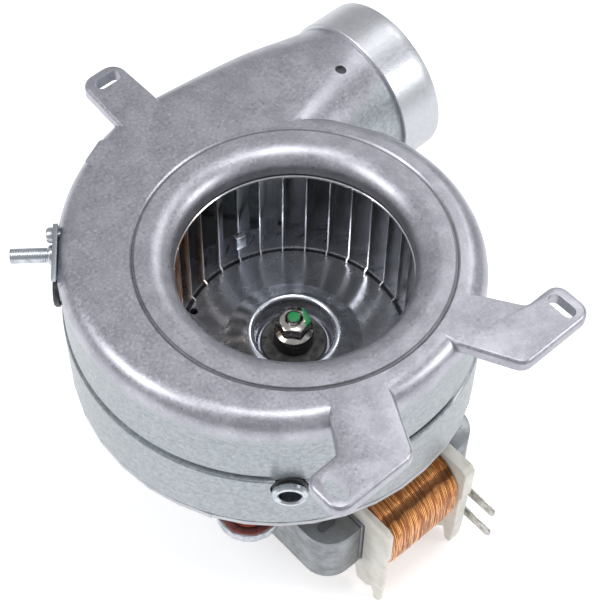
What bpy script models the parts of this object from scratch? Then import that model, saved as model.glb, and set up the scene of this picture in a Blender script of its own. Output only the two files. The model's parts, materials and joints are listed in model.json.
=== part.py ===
"""Flue-gas extractor fan: die-cast volute, stainless impeller and shaded-pole motor.

Dimensions are in millimetres and become metres when a mesh is made.
+Z runs along the shaft towards the inlet, and z = 0 is the plane of the mounting lugs.
+X runs along the outlet spigot. The origin is on the shaft's axis.
"""
import math

import bmesh
import bpy
from mathutils import Matrix, Vector

MM = 0.001
GAP = 0.3
SMOOTH_ANGLE = math.radians(35)
WELD = 0.000003

# Scroll: radius against the clockwise angle from +X, seen from the inlet.
SCROLL_RADIUS = 62.5
SCROLL_GROWTH = 22.4
SCROLL_ROUND_END = 85.0
SCROLL_FIRST_ANGLE = -17.5
SCROLL_LAST_ANGLE = 270.0
SCROLL_STEPS = 30
SCROLL_FAR_SLOPE = 0.02
SCROLL_FAR_X = 6.0
SCROLL_NEAR_X = 50.0
SCROLL_HEIGHT = 58.0
SHOULDER_RADIUS = 7.0
TONGUE_Y = 36.0
WALL = 2.5
TOP_PLATE = 3.0
LEDGE_Z = -32.0
LEDGE_DEPTH = 0.7

# Inlet bell in the top plate.
INLET_RADIUS = 39.2
BELL_RADIUS = 47.5
BELL_DEPTH = 6.5
BELL_LIP_Z = -8.0
BELL_WALL = 1.9
RING_GROOVE = (51.5, 52.7)
RING_GROOVE_DEPTH = 0.6
BELL_SEGMENTS = 48

# Neck and outlet spigot.
SPIGOT_RADIUS = 30.0
SPIGOT_Y = 57.7
SPIGOT_Z = -31.5
SPIGOT_START = 78.6
SPIGOT_END = 96.2
NECK_START = 2.0
NECK_DROP_START = 44.0
NECK_NEAR_STEP = -7.4
NECK_BOTTOM = -57.8
NECK_RADIUS = 28.6
NECK_STATIONS = (2.0, 8.0, 26.0, 44.0, 51.0, 58.0, 66.0, 78.6)
NECK_HOLE = (66.7, 50.2)
SPIGOT_SEGMENTS = 28

# Mounting lugs.
LUG_THICKNESS = 4.6
LUG_CHAMFER = 0.6
SLOT_WIDTH = 4.6
LUG_A_SLOT = (1.5, 98.3)
LUG_B_SLOT = (48.3, -71.4)
SLOT_REACH = 2.9
EAR = ((-26.0, 66.0), (-27.3, 74.4), (-17.9, 78.5), (-14.9, 77.0), (-12.5, 70.0))

# Rear cover and its screws.
COVER_TOP = -(SCROLL_HEIGHT + GAP)
COVER_THICKNESS = 2.0
COVER_BOTTOM = COVER_TOP - COVER_THICKNESS
COVER_HOLE_RADIUS = 6.0
BOSS_RADIUS = 3.8
COVER_TAB_ANGLES = (-171.0, -158.0)
COVER_SCREWS = ((29.0, -50.2), (-64.5, 2.3), (-37.0, 63.5), (34.0, 80.2))
BOSS_TOPS = (-2.5, -2.5, -2.5, -20.0)

# Impeller.
BLADE_COUNT = 30
BLADE_INNER = 38.8
BLADE_OUTER = 49.3
BLADE_THICKNESS = 0.7
BLADE_SWEEP = 11.0
BLADE_PHASE = 6.0
BLADE_SEGMENTS = 3
FRONT_RING_Z = -9.1
FRONT_RING_THICKNESS = 0.8
DISC_Z = -49.5
DISC_THICKNESS = 1.0
DISC_RADIUS = 50.2
DOME_HEIGHT = 5.0
HUB_SEAT_Z = -52.0
DISC_HOLES = ((26.0, 145.0), (36.5, 120.0))
CLIP_ANGLE = 78.0
CLIP_Z = -37.0

# Shaft, hub and nut.
SHAFT_RADIUS = 3.0
SHAFT_TIP_RADIUS = 2.4
SHAFT_TOP = -36.0
SHAFT_BOTTOM = -119.0
NUT_TOP = -37.2
NUT_BOTTOM = -42.6
NUT_FLATS = 10.0
NUT_FLANGE = 6.8
HUB_RADIUS = 6.8
HUB_PLATE_RADIUS = 11.6

# Motor.
CORE_TOP = -78.0
CORE_BOTTOM = -102.0
CORE_HALF_WIDTH = 37.0
CORE_FRONT = -58.4
CORE_REAR = 28.0
CORE_CORNER = 10.0
STATOR_BORE = 16.2
ROTOR_RADIUS = 15.6
WINDOW_HALF = 21.6
WINDOW_REAR = -32.5
LEG_REAR = -44.0
BOBBIN_HALF = 20.3
THIN_FLANGE = 2.0
THICK_FLANGE = 4.8
BOBBIN_WALL = 1.5
COIL_FRONT = -69.6
COIL_REAR = -34.4
COIL_TOP = -69.9
COIL_BOTTOM = -107.0
COIL_CORNERS = (14.0, 8.0, 10.0, 15.0)
FLANGE_FRONT = -70.7
FLANGE_REAR = -33.2
FLANGE_TOP = -69.3
FLANGE_BOTTOM = -110.7
FLANGE_TIP = -121.0
TERMINAL_X = 22.5
TERMINAL_HEIGHTS = (-92.0, -106.5)
TERMINAL_WIDTH = 4.8
TERMINAL_ROOT = -62.6
TERMINAL_SHOULDER = -66.4
TERMINAL_END = -80.4
TERMINAL_BLOCK = ((19.5, -66.0, -109.6), (25.4, -61.0, -80.0))
BOLT_SPOTS = ((-29.5, 16.0), (29.5, 16.0))
SHADING_X = (19.2, 26.0)
SHADING_Y = -8.4
SHADING_HOLE = 1.4
BEARING_RADIUS = 5.0
BEARING_BOSS = 8.2
WASHER_RADIUS = 4.8
UPPER_BOSS_END = -64.6
LOWER_BOSS_END = -114.3
LOWER_DECK = (-108.1, -105.1)

# Motor mounts: three silicone grommets between the rear cover and the bracket.
MOUNTS = ((56.0, -147.2), (56.0, -25.0), (60.5, 95.0))
CUP_RADIUS = 11.3
BRACKET_TOP = -72.5
BRACKET_THICKNESS = 1.5

# Flat on the scroll wall that carries the stud bracket and the blanking plug: its outward
# direction and distance, and places on it as (distance along the wall, z).
FLAT_DIRECTION = 141.0
FLAT_DISTANCE = 76.2
FLAT_SPAN = (-8.5, 17.5)
FLAT_BOTTOM = -24.0
BRACKET_OUTLINE = ((16.0, -0.4), (-7.5, -0.4), (-7.5, -1.4), (5.5, -13.0), (16.0, -13.0))
BRACKET_PLATE = 1.5
STUD_SPOT = (9.0, -9.0)
STUD_RADIUS = 2.6
STUD_LENGTH = 14.2
BRACKET_SCREW_SPOT = (13.2, -3.9)
PLUG_SPOT = (-1.6, -14.4)

TAP_ANGLE = -133.0
TAP_Z = -36.0


# ---------------------------------------------------------------- mesh helpers

def material(name, colour, metallic, roughness):
    mat = bpy.data.materials.new(name)
    mat.use_nodes = True
    shader = mat.node_tree.nodes["Principled BSDF"]
    shader.inputs["Base Color"].default_value = (*colour, 1.0)
    shader.inputs["Metallic"].default_value = metallic
    shader.inputs["Roughness"].default_value = roughness
    return mat


def make_object(name, bm, mat=None):
    """Turn a bmesh in millimetres into an object in metres."""
    bmesh.ops.recalc_face_normals(bm, faces=bm.faces)
    bm.transform(Matrix.Scale(MM, 4))
    mesh = bpy.data.meshes.new(name)
    bm.to_mesh(mesh)
    bm.free()
    obj = bpy.data.objects.new(name, mesh)
    bpy.context.scene.collection.objects.link(obj)
    if mat:
        finish(obj, mat)
    return obj


def finish(obj, mat):
    """Give the object its one material and its smooth round faces."""
    obj.data.materials.clear()
    obj.data.materials.append(mat)
    for polygon in obj.data.polygons:
        polygon.material_index = 0
    obj.data.shade_smooth()
    obj.data.set_sharp_from_angle(angle=SMOOTH_ANGLE)
    return obj


def combine(target, tools, operation):
    """Join tools to the target, or cut them from it, and drop the tools."""
    for tool in tools:
        modifier = target.modifiers.new("combine", "BOOLEAN")
        modifier.solver = "EXACT"
        modifier.operation = operation
        modifier.object = tool
        graph = bpy.context.evaluated_depsgraph_get()
        graph.update()
        mesh = bpy.data.meshes.new_from_object(target.evaluated_get(graph))
        target.modifiers.clear()
        weld(mesh)
        target.data = mesh
        bpy.data.objects.remove(tool, do_unlink=True)
    return target


def weld(mesh):
    """Close the hairline seams that a Boolean leaves."""
    bm = bmesh.new()
    bm.from_mesh(mesh)
    bmesh.ops.remove_doubles(bm, verts=bm.verts, dist=WELD)
    bmesh.ops.dissolve_degenerate(bm, edges=bm.edges, dist=WELD)
    bm.to_mesh(mesh)
    bm.free()


def join(target, *tools):
    return combine(target, tools, "UNION")


def cut(target, *tools):
    return combine(target, tools, "DIFFERENCE")


def loft(rings, name="tool", mat=None):
    """Skin rings of equally many points and close both ends."""
    bm = bmesh.new()
    loops = [[bm.verts.new(point) for point in ring] for ring in rings]
    count = len(loops[0])
    for lower, upper in zip(loops, loops[1:]):
        for i in range(count):
            j = (i + 1) % count
            bm.faces.new((lower[i], lower[j], upper[j], upper[i]))
    bm.faces.new(loops[0])
    bm.faces.new(loops[-1])
    return make_object(name, bm, mat)


def prism(outline, z_low, z_high, name="tool", mat=None):
    rings = [[(x, y, z) for x, y in outline] for z in (z_low, z_high)]
    return loft(rings, name, mat)


def box(low, high, name="tool", mat=None):
    corners = [(low[0], low[1]), (high[0], low[1]), (high[0], high[1]), (low[0], high[1])]
    return prism(corners, low[2], high[2], name, mat)


def revolve(profile, segments, name="tool", mat=None, centre=(0.0, 0.0)):
    """Spin a closed profile of (radius, z) about a vertical axis through centre."""
    bm = bmesh.new()
    columns = []
    for radius, z in profile:
        if radius < 1e-6:
            columns.append([bm.verts.new((centre[0], centre[1], z))] * segments)
            continue
        turn = [2 * math.pi * i / segments for i in range(segments)]
        columns.append([bm.verts.new((centre[0] + radius * math.cos(a),
                                      centre[1] + radius * math.sin(a), z)) for a in turn])
    for first, second in zip(columns, columns[1:] + columns[:1]):
        for i in range(segments):
            j = (i + 1) % segments
            corners = list(dict.fromkeys((first[i], first[j], second[j], second[i])))
            if len(corners) > 2:
                bm.faces.new(corners)
    return make_object(name, bm, mat)


def cylinder(radius, z_low, z_high, segments=24, name="tool", mat=None, centre=(0.0, 0.0)):
    profile = ((0, z_low), (radius, z_low), (radius, z_high), (0, z_high))
    return revolve(profile, segments, name, mat, centre)


def turned(obj, placement):
    """Bake a placement, whose shift is in millimetres, into the mesh."""
    placement = placement.copy()
    placement.translation *= MM
    obj.data.transform(placement)
    return obj


def outward(angle, distance, z):
    """Placement that turns +Z to the horizontal direction at angle."""
    direction = math.radians(angle)
    shift = Vector((distance * math.cos(direction), distance * math.sin(direction), z))
    return Matrix.Translation(shift) @ Matrix.Rotation(direction, 4, "Z") @ Matrix.Rotation(math.pi / 2, 4, "Y")


def swung(distance, angle, z):
    """Placement that keeps +Z upright and turns +X to the horizontal direction at angle."""
    shift = Vector((*polar(distance, angle), z))
    return Matrix.Translation(shift) @ Matrix.Rotation(math.radians(angle), 4, "Z")


def polar(radius, angle):
    return (radius * math.cos(math.radians(angle)), radius * math.sin(math.radians(angle)))


def offset_outline(points, distance):
    """Move a clockwise outline inwards by distance, with mitred corners."""
    moved = []
    count = len(points)
    for i in range(count):
        before, here, after = (Vector(points[(i + k) % count]) for k in (-1, 0, 1))
        first = (here - before).normalized()
        second = (after - here).normalized()
        inward = Vector((first.y, -first.x)) + Vector((second.y, -second.x))
        inward.normalize()
        stretch = inward.dot(Vector((first.y, -first.x)))
        point = here + inward * (distance / stretch)
        moved.append((point.x, point.y))
    return moved


def rounded(points, radius, steps=3):
    """Replace the corners of an outline by arcs; radius is one value or one for each corner."""
    radii = radius if isinstance(radius, (list, tuple)) else [radius] * len(points)
    outline = []
    count = len(points)
    for i, reach in enumerate(radii):
        before, here, after = (Vector(points[(i + k) % count]) for k in (-1, 0, 1))
        if reach <= 0:
            outline.append((here.x, here.y))
            continue
        back = (before - here).normalized()
        ahead = (after - here).normalized()
        half = back.angle(ahead) / 2
        start = here + back * (reach / math.tan(half))
        centre = here + (back + ahead).normalized() * (reach / math.sin(half))
        spoke = start - centre
        sweep = (math.pi - 2 * half) * (1 if back.x * ahead.y - back.y * ahead.x < 0 else -1)
        for k in range(steps + 1):
            arm = spoke.copy()
            arm.rotate(Matrix.Rotation(sweep * k / steps, 2))
            outline.append(tuple(centre + arm))
    return outline


def slot_outline(centre, direction, reach, width, steps=6):
    """Stadium shape: two half circles, reach away from the centre each way."""
    outline = []
    for side in (0, 180):
        hub = Vector(centre) + Vector(polar(reach, direction + side))
        for k in range(steps + 1):
            turn = direction + side - 90 + 180 * k / steps
            outline.append(tuple(hub + Vector(polar(width / 2, turn))))
    return outline


# ---------------------------------------------------------------- materials

CAST = material("cast_aluminium", (0.56, 0.57, 0.60), 0.9, 0.42)
COVER = material("cover_aluminium", (0.60, 0.61, 0.63), 0.9, 0.38)
STAINLESS = material("stainless", (0.55, 0.55, 0.56), 1.0, 0.2)
POLISHED = material("polished_disc", (0.62, 0.62, 0.63), 1.0, 0.12)
ZINC = material("zinc_plated", (0.50, 0.53, 0.56), 1.0, 0.35)
CHROME = material("bright_nut", (0.75, 0.73, 0.70), 1.0, 0.15)
SHAFT_STEEL = material("ground_steel", (0.50, 0.50, 0.52), 1.0, 0.25)
LAMINATION = material("laminated_steel", (0.22, 0.23, 0.25), 0.9, 0.45)
ROTOR_ALLOY = material("rotor_alloy", (0.45, 0.46, 0.48), 0.9, 0.5)
ZAMAK = material("bridge_alloy", (0.48, 0.49, 0.50), 0.9, 0.45)
BRONZE = material("sintered_bronze", (0.50, 0.33, 0.14), 1.0, 0.45)
COPPER = material("copper", (0.75, 0.35, 0.15), 0.9, 0.35)
NYLON = material("white_nylon", (0.80, 0.79, 0.72), 0.0, 0.5)
TINNED = material("tinned_brass", (0.72, 0.72, 0.68), 1.0, 0.3)
SILICONE = material("red_silicone", (0.62, 0.09, 0.04), 0.0, 0.5)
RUBBER = material("black_rubber", (0.02, 0.02, 0.02), 0.0, 0.6)
DARK_STEEL = material("dark_steel", (0.13, 0.13, 0.14), 0.8, 0.5)


# ---------------------------------------------------------------- housing

def scroll_outline(far_x, near_x):
    """Clockwise plan of the scroll, cut off across the neck between far_x and near_x."""
    points = []
    for i in range(SCROLL_STEPS + 1):
        angle = SCROLL_FIRST_ANGLE + (SCROLL_LAST_ANGLE - SCROLL_FIRST_ANGLE) * i / SCROLL_STEPS
        share = max(0.0, (angle - SCROLL_ROUND_END) / (SCROLL_LAST_ANGLE - SCROLL_ROUND_END))
        points.append(polar(SCROLL_RADIUS + SCROLL_GROWTH * share ** 1.4, -angle))
    points.append((far_x, points[-1][1] + SCROLL_FAR_SLOPE * far_x))
    points.append((near_x, TONGUE_Y))
    return points


def scroll_block():
    """Outer form of the scroll, with its rounded shoulder and the ledge round its wall."""
    outline = scroll_outline(SCROLL_FAR_X, SCROLL_NEAR_X)
    steps = [(SHOULDER_RADIUS * (1 - math.sin(math.radians(a))),
              -SHOULDER_RADIUS * (1 - math.cos(math.radians(a)))) for a in (0, 30, 60, 90)]
    steps += [(0.0, LEDGE_Z + 0.9), (LEDGE_DEPTH, LEDGE_Z + 0.4), (LEDGE_DEPTH, LEDGE_Z - 0.5),
              (-LEDGE_DEPTH, LEDGE_Z - 1.2), (-LEDGE_DEPTH, -SCROLL_HEIGHT)]
    return loft([[(x, y, z) for x, y in offset_outline(outline, inset)] for inset, z in steps])


def neck_section(x, shrink):
    """Rounded rectangle across the neck, whose corners grow until it is round at the spigot."""
    along = min(1.0, max(0.0, (x - NECK_START) / (SPIGOT_START - NECK_START)))
    late = min(1.0, max(0.0, (x - NECK_DROP_START) / (SPIGOT_START - NECK_DROP_START)))
    late = late * late * (3 - 2 * late)
    far = SCROLL_RADIUS + SCROLL_GROWTH - 0.05 + SCROLL_FAR_SLOPE * x
    near = TONGUE_Y + NECK_NEAR_STEP + 0.5 * along
    top = -0.05 + (SPIGOT_Z + NECK_RADIUS + 0.05) * late
    bottom = NECK_BOTTOM + (SPIGOT_Z - NECK_RADIUS - NECK_BOTTOM) * late
    upper = SHOULDER_RADIUS + (NECK_RADIUS - SHOULDER_RADIUS) * along ** 1.3
    lower = 2.0 + (NECK_RADIUS - 2.0) * late
    ring = []
    for i in range(SPIGOT_SEGMENTS):
        turn = 2 * math.pi * (i + 0.5) / SPIGOT_SEGMENTS
        corner = max((upper if math.sin(turn) > 0 else lower) - shrink, 0.5)
        half_y, half_z = (far - near) / 2 - shrink - corner, (top - bottom) / 2 - shrink - corner
        ring.append((x, (far + near) / 2 + math.copysign(half_y, math.cos(turn)) + corner * math.cos(turn),
                     (top + bottom) / 2 + math.copysign(half_z, math.sin(turn)) + corner * math.sin(turn)))
    return ring


def spigot_ring(x, radius):
    turns = [2 * math.pi * (i + 0.5) / SPIGOT_SEGMENTS for i in range(SPIGOT_SEGMENTS)]
    return [(x, SPIGOT_Y + radius * math.cos(a), SPIGOT_Z + radius * math.sin(a)) for a in turns]


def neck_and_spigot():
    rings = [neck_section(x, 0.0) for x in NECK_STATIONS]
    rings += [spigot_ring(SPIGOT_START + 0.4, SPIGOT_RADIUS), spigot_ring(SPIGOT_END - 0.5, SPIGOT_RADIUS),
              spigot_ring(SPIGOT_END, SPIGOT_RADIUS - 0.5)]
    return loft(rings)


def neck_channel():
    rings = [neck_section(x, WALL) for x in (-4.0,) + NECK_STATIONS[1:]]
    rings.append(spigot_ring(SPIGOT_END + 1, NECK_RADIUS - WALL + 0.6))
    return loft(rings)


def lug_outlines():
    """Plans of the three lugs: one along +Y and a mirrored pair on either side of -Y."""
    lug_a = rounded([(-9.0, 70.0), (-6.7, 104.2), (9.2, 104.2), (9.2, 70.0)], [0, 5.5, 5.5, 0])
    corners = [(11.0, -50.0), (13.6, -60.0), (23.6, -79.3), (54.4, -79.3), (54.4, -63.7),
               (40.6, -63.7), (29.0, -46.0)]
    lug_b = rounded(corners, [0, 6, 5, 5, 4.5, 3, 0])
    lug_c = [(-x, y) for x, y in reversed(lug_b)]
    return lug_a, lug_b, lug_c


def lug_solid(outline):
    clockwise = list(reversed(outline)) if signed_area(outline) > 0 else outline
    steps = ((LUG_CHAMFER, 0.0), (0.0, -LUG_CHAMFER), (0.0, -LUG_THICKNESS))
    return loft([[(x, y, z) for x, y in offset_outline(clockwise, inset)] for inset, z in steps])


def signed_area(outline):
    return sum(a[0] * b[1] - a[1] * b[0] for a, b in zip(outline, outline[1:] + outline[:1])) / 2


def bell_curve(radius_add, z_add, steps=3):
    """Quarter ellipse from the flat of the top plate down to the throat."""
    points = []
    for k in range(steps + 1):
        turn = math.pi / 2 * k / steps
        radius = BELL_RADIUS - (BELL_RADIUS - INLET_RADIUS) * math.sin(turn) + radius_add
        points.append((radius, -BELL_DEPTH * (1 - math.cos(turn)) + z_add))
    return points


def volute_housing():
    body = scroll_block()
    join(body, neck_and_spigot())
    join(body, *[lug_solid(outline) for outline in lug_outlines()])
    join(body, prism(EAR, -6.0, -0.02))
    flat_cut = box((-1.0, -FLAT_SPAN[1], -GAP), (-FLAT_BOTTOM, -FLAT_SPAN[0], 8.0))
    cut(body, turned(flat_cut, flat_frame()))
    pad = [(0.4, -10.0), (0.4, -5.5), (3.2, -GAP - 0.02), (12.5, -GAP - 0.02), (12.5, -10.0)]
    ends = (-FLAT_SPAN[1] + 2, -FLAT_SPAN[0] - 1.5)
    join(body, turned(loft([[(down, y, out) for down, out in pad] for y in ends]), flat_frame()))
    cavity = offset_outline(scroll_outline(SCROLL_FAR_X, SCROLL_NEAR_X - 6.0), WALL)
    cut(body, prism(cavity, -SCROLL_HEIGHT - 1, -TOP_PLATE))
    cut(body, neck_channel())
    join(body, *[cylinder(BOSS_RADIUS, -SCROLL_HEIGHT, top, 14, centre=spot)
                 for spot, top in zip(COVER_SCREWS, BOSS_TOPS)])
    cut(body, *[cylinder(1.7 + GAP, -SCROLL_HEIGHT - 1, -SCROLL_HEIGHT + 14, 10, centre=spot)
                for spot in COVER_SCREWS])
    collar = [(36.0, -2.0), (51.0, -2.0), (51.0, -2.9)] + bell_curve(BELL_WALL, -2.2)
    collar += [(INLET_RADIUS + BELL_WALL, BELL_LIP_Z), (36.0, BELL_LIP_Z)]
    join(body, revolve(collar, BELL_SEGMENTS))
    air = [(0.0, 2.0), (BELL_RADIUS, 2.0)] + bell_curve(0.0, 0.0)
    air += [(INLET_RADIUS, BELL_LIP_Z - 1), (0.0, BELL_LIP_Z - 1)]
    cut(body, revolve(air, BELL_SEGMENTS))
    inner, outer = RING_GROOVE
    ring_cut = [(inner, 1), (inner, -RING_GROOVE_DEPTH), (outer, -RING_GROOVE_DEPTH), (outer, 1)]
    cut(body, revolve(ring_cut, BELL_SEGMENTS))
    slots = [slot_outline(LUG_A_SLOT, 0, SLOT_REACH, SLOT_WIDTH),
             slot_outline(LUG_B_SLOT, 90, SLOT_REACH, SLOT_WIDTH),
             slot_outline((-LUG_B_SLOT[0], LUG_B_SLOT[1]), 90, SLOT_REACH, SLOT_WIDTH)]
    cut(body, *[prism(outline, -LUG_THICKNESS - 1, 1) for outline in slots])
    cut(body, cylinder(2.0, -TOP_PLATE - 0.4, 1, 20, centre=NECK_HOLE))
    cut(body, turned(cylinder(6.3, -12.0, 6.0, 32), outward(TAP_ANGLE, SCROLL_RADIUS, TAP_Z)))
    cut(body, turned(cylinder(1.6, -9.0, 1.0, 12), flat_frame(BRACKET_SCREW_SPOT)))
    cut(body, turned(cylinder(2.6, -9.0, 1.0, 16), flat_frame(STUD_SPOT)))
    cut(body, turned(cylinder(3.0, -9.0, 1.0, 16), flat_frame(PLUG_SPOT)))
    body.name = "volute_housing"
    return finish(body, CAST)


def flat_frame(spot=(0.0, 0.0)):
    """Placement on the wall's flat: local +Z points outwards and local +X points down."""
    along, z = spot
    direction = math.radians(FLAT_DIRECTION)
    place = outward(FLAT_DIRECTION, FLAT_DISTANCE, z)
    place.translation += along * Vector((math.sin(direction), -math.cos(direction), 0))
    return place


def rear_cover():
    outline = offset_outline(scroll_outline(48.0, 48.0), -LEDGE_DEPTH)
    plate = prism(outline, COVER_BOTTOM, COVER_TOP)
    for angle in COVER_TAB_ANGLES:
        tab = box((-4.0, -4.0, 0.0), (2.4, 4.0, COVER_THICKNESS))
        join(plate, turned(tab, swung(66.8, angle, COVER_BOTTOM)))
    cut(plate, cylinder(COVER_HOLE_RADIUS, COVER_BOTTOM - 1, COVER_TOP + 1, 32))
    holes = [(x, y, 2.1) for x, y in COVER_SCREWS] + [(*polar(radius, angle), 2.4) for radius, angle in MOUNTS]
    cut(plate, *[cylinder(r, COVER_BOTTOM - 1, COVER_TOP + 1, 10, centre=(x, y)) for x, y, r in holes])
    plate.name = "rear_cover"
    return finish(plate, COVER)


def screw(name, spot, seat_z, length, radius, head_radius, head_height, up=True):
    """Pan-head screw standing on seat_z: its shank goes up when up is True, otherwise down."""
    way = 1 if up else -1
    profile = [(0, length * way), (radius * 0.7, length * way), (radius, (length - radius * 0.5) * way),
               (radius, 0), (head_radius, 0), (head_radius, -head_height * 0.6 * way),
               (head_radius * 0.75, -head_height * way), (0, -head_height * way)]
    return revolve([(r, z + seat_z) for r, z in profile], 10, name, ZINC, spot)


def housing_fittings():
    for number, spot in enumerate(COVER_SCREWS, 1):
        screw(f"cover_screw_{number}", spot, COVER_BOTTOM - GAP, 12.0, 1.7, 3.6, 2.4)
    stub_profile = [(3.6, -9.0), (4.6, -9.0), (4.6, 4.8), (5.8, 5.1), (5.8, 6.6), (5.2, 7.2), (3.9, 7.2),
                    (3.6, 6.8)]
    stub = revolve(stub_profile, 18, "pressure_tap", ZINC)
    turned(stub, outward(TAP_ANGLE, SCROLL_RADIUS, TAP_Z))
    seal_profile = [(4.9, -3.6)]
    for rib in range(4):
        seal_profile += [(5.4, 1.9 * rib - 3.4), (6.0, 1.9 * rib - 2.6)]
    seal_profile += [(5.4, 4.2), (4.9, 4.4)]
    seal = revolve(seal_profile, 18, "tap_seal", RUBBER)
    turned(seal, outward(TAP_ANGLE, SCROLL_RADIUS, TAP_Z))
    plug_profile = [(0, -6.0), (2.7, -6.0), (2.7, 0.0), (5.3, 0.0), (5.3, 1.6), (4.6, 2.2), (0, 2.2)]
    plug = revolve(plug_profile, 24, "blanking_plug", DARK_STEEL)
    turned(plug, flat_frame(PLUG_SPOT))
    outline = rounded([(-z, -along) for along, z in BRACKET_OUTLINE], [1.5, 0.4, 0.4, 3.0, 1.5])
    plate = turned(prism(outline, 0.0, BRACKET_PLATE), flat_frame())
    cut(plate, turned(cylinder(2.6, -1, 3, 16), flat_frame(STUD_SPOT)))
    cut(plate, turned(cylinder(1.6, -1, 3, 12), flat_frame(BRACKET_SCREW_SPOT)))
    plate.name = "stud_bracket"
    finish(plate, ZINC)
    seat = BRACKET_PLATE + GAP
    stud_profile = [(0, -6.5), (2.3, -6.5), (2.3, seat), (3.3, seat), (3.3, seat + 1.6),
                    (STUD_RADIUS, seat + 2.2), (STUD_RADIUS, seat + STUD_LENGTH - 0.8),
                    (STUD_RADIUS - 0.6, seat + STUD_LENGTH), (0, seat + STUD_LENGTH)]
    turned(revolve(stud_profile, 20, "fixing_stud", ZINC), flat_frame(STUD_SPOT))
    bracket_screw = screw("bracket_screw", (0, 0), seat, 6.0, 1.3, 2.7, 2.2, up=False)
    turned(bracket_screw, flat_frame(BRACKET_SCREW_SPOT))


# ---------------------------------------------------------------- impeller and hub

def blade_outline(angle):
    """Plan of one forward-curved blade: it leans clockwise as it goes outwards."""
    centreline = []
    for k in range(BLADE_SEGMENTS + 1):
        share = k / BLADE_SEGMENTS
        radius = BLADE_INNER + (BLADE_OUTER - BLADE_INNER) * share
        centreline.append(Vector(polar(radius, angle - BLADE_SWEEP * share ** 1.7)))
    sides = ([], [])
    for k, point in enumerate(centreline):
        before, after = centreline[max(k - 1, 0)], centreline[min(k + 1, BLADE_SEGMENTS)]
        along = (after - before).normalized()
        across = Vector((along.y, -along.x)) * BLADE_THICKNESS / 2
        sides[0].append(tuple(point + across))
        sides[1].append(tuple(point - across))
    return sides[0] + sides[1][::-1]


def blade_cage():
    """Front ring with its blades, which hang down to the back disc."""
    ring_low = FRONT_RING_Z - FRONT_RING_THICKNESS
    ring = revolve([(BLADE_INNER + 0.6, ring_low), (BLADE_OUTER + 0.6, ring_low),
                    (BLADE_OUTER + 0.6, FRONT_RING_Z), (BLADE_INNER + 0.6, FRONT_RING_Z)], 48)
    bm = bmesh.new()
    for number in range(BLADE_COUNT):
        outline = blade_outline(BLADE_PHASE + 360 * number / BLADE_COUNT)
        loops = [[bm.verts.new((x, y, z)) for x, y in outline] for z in (DISC_Z + GAP, ring_low + 0.4)]
        bm.faces.new(loops[0])
        bm.faces.new(loops[1])
        for i in range(len(outline)):
            j = (i + 1) % len(outline)
            bm.faces.new((loops[0][i], loops[0][j], loops[1][j], loops[1][i]))
    join(ring, make_object("tool", bm))
    ring.name = "impeller_blade_cage"
    return finish(ring, STAINLESS)


def back_disc():
    """Back disc with its raised dome and the recess for the hub plate."""
    top = [(DISC_RADIUS, DISC_Z), (24.0, DISC_Z)]
    for share in (1 / 3, 2 / 3, 1.0):
        top.append((24.0 - 8.5 * share, DISC_Z + DOME_HEIGHT * (1 - math.cos(math.pi * share)) / 2))
    top += [(13.6, DISC_Z + DOME_HEIGHT - 1.5), (12.6, HUB_SEAT_Z), (4.0, HUB_SEAT_Z)]
    bottom = [(4.0, HUB_SEAT_Z - DISC_THICKNESS), (13.6, HUB_SEAT_Z - DISC_THICKNESS),
              (14.6, DISC_Z + DOME_HEIGHT - 2.0), (15.5, DISC_Z + DOME_HEIGHT - DISC_THICKNESS),
              (20.6, DISC_Z + 0.2), (24.0, DISC_Z - DISC_THICKNESS), (DISC_RADIUS, DISC_Z - DISC_THICKNESS)]
    disc = revolve(top + bottom, 32)
    cut(disc, *[cylinder(1.4, DISC_Z - 2, DISC_Z + 1, 14, centre=polar(*spot)) for spot in DISC_HOLES])
    disc.name = "impeller_back_disc"
    return finish(disc, POLISHED)


def impeller_hub():
    plate_top = HUB_SEAT_Z + GAP + 1.4
    revolve([(4.0, HUB_SEAT_Z + GAP), (HUB_PLATE_RADIUS, HUB_SEAT_Z + GAP), (HUB_PLATE_RADIUS, plate_top),
             (4.0, plate_top)], 24, "hub_plate", DARK_STEEL)
    hub_low, hub_high = plate_top + GAP, NUT_BOTTOM - 1.2 - GAP
    revolve([(3.0 + GAP, hub_low), (HUB_RADIUS, hub_low), (HUB_RADIUS, hub_high - 0.6),
             (HUB_RADIUS - 0.6, hub_high), (3.0 + GAP, hub_high)], 18, "hub_bush", RUBBER)
    flange = revolve([(2.4 + GAP, NUT_BOTTOM - 1.2), (NUT_FLANGE, NUT_BOTTOM - 1.2),
                      (NUT_FLANGE, NUT_BOTTOM - 0.6),
                      (4.6, NUT_BOTTOM + 0.6), (2.4 + GAP, NUT_BOTTOM + 0.6)], 18)
    corner = NUT_FLATS / math.sqrt(3)
    hexagon = [polar(corner, 60 * k + 12) for k in range(6)]
    crown = prism(hexagon, NUT_BOTTOM, NUT_TOP)
    trim = revolve([(0, NUT_BOTTOM - 1), (corner + 1, NUT_BOTTOM - 1), (corner + 1, NUT_TOP - 1.2),
                    (NUT_FLATS / 2 - 0.3, NUT_TOP + 0.05), (0, NUT_TOP + 0.05)], 18)
    combine(crown, [trim], "INTERSECT")
    cut(crown, cylinder(2.4 + GAP, NUT_BOTTOM - 1, NUT_TOP + 1, 18))
    join(flange, crown)
    flange.name = "flange_nut"
    finish(flange, CHROME)
    clip = box((-1.8, -1.9, -3.0), (1.2, 1.9, 3.0))
    cut(clip, box((0.0, -0.9, -4.0), (6.0, 0.9, 4.0)))
    turned(clip, swung(BLADE_INNER - 0.4, CLIP_ANGLE, CLIP_Z))
    clip.name = "balance_clip"
    finish(clip, ZINC)


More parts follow.
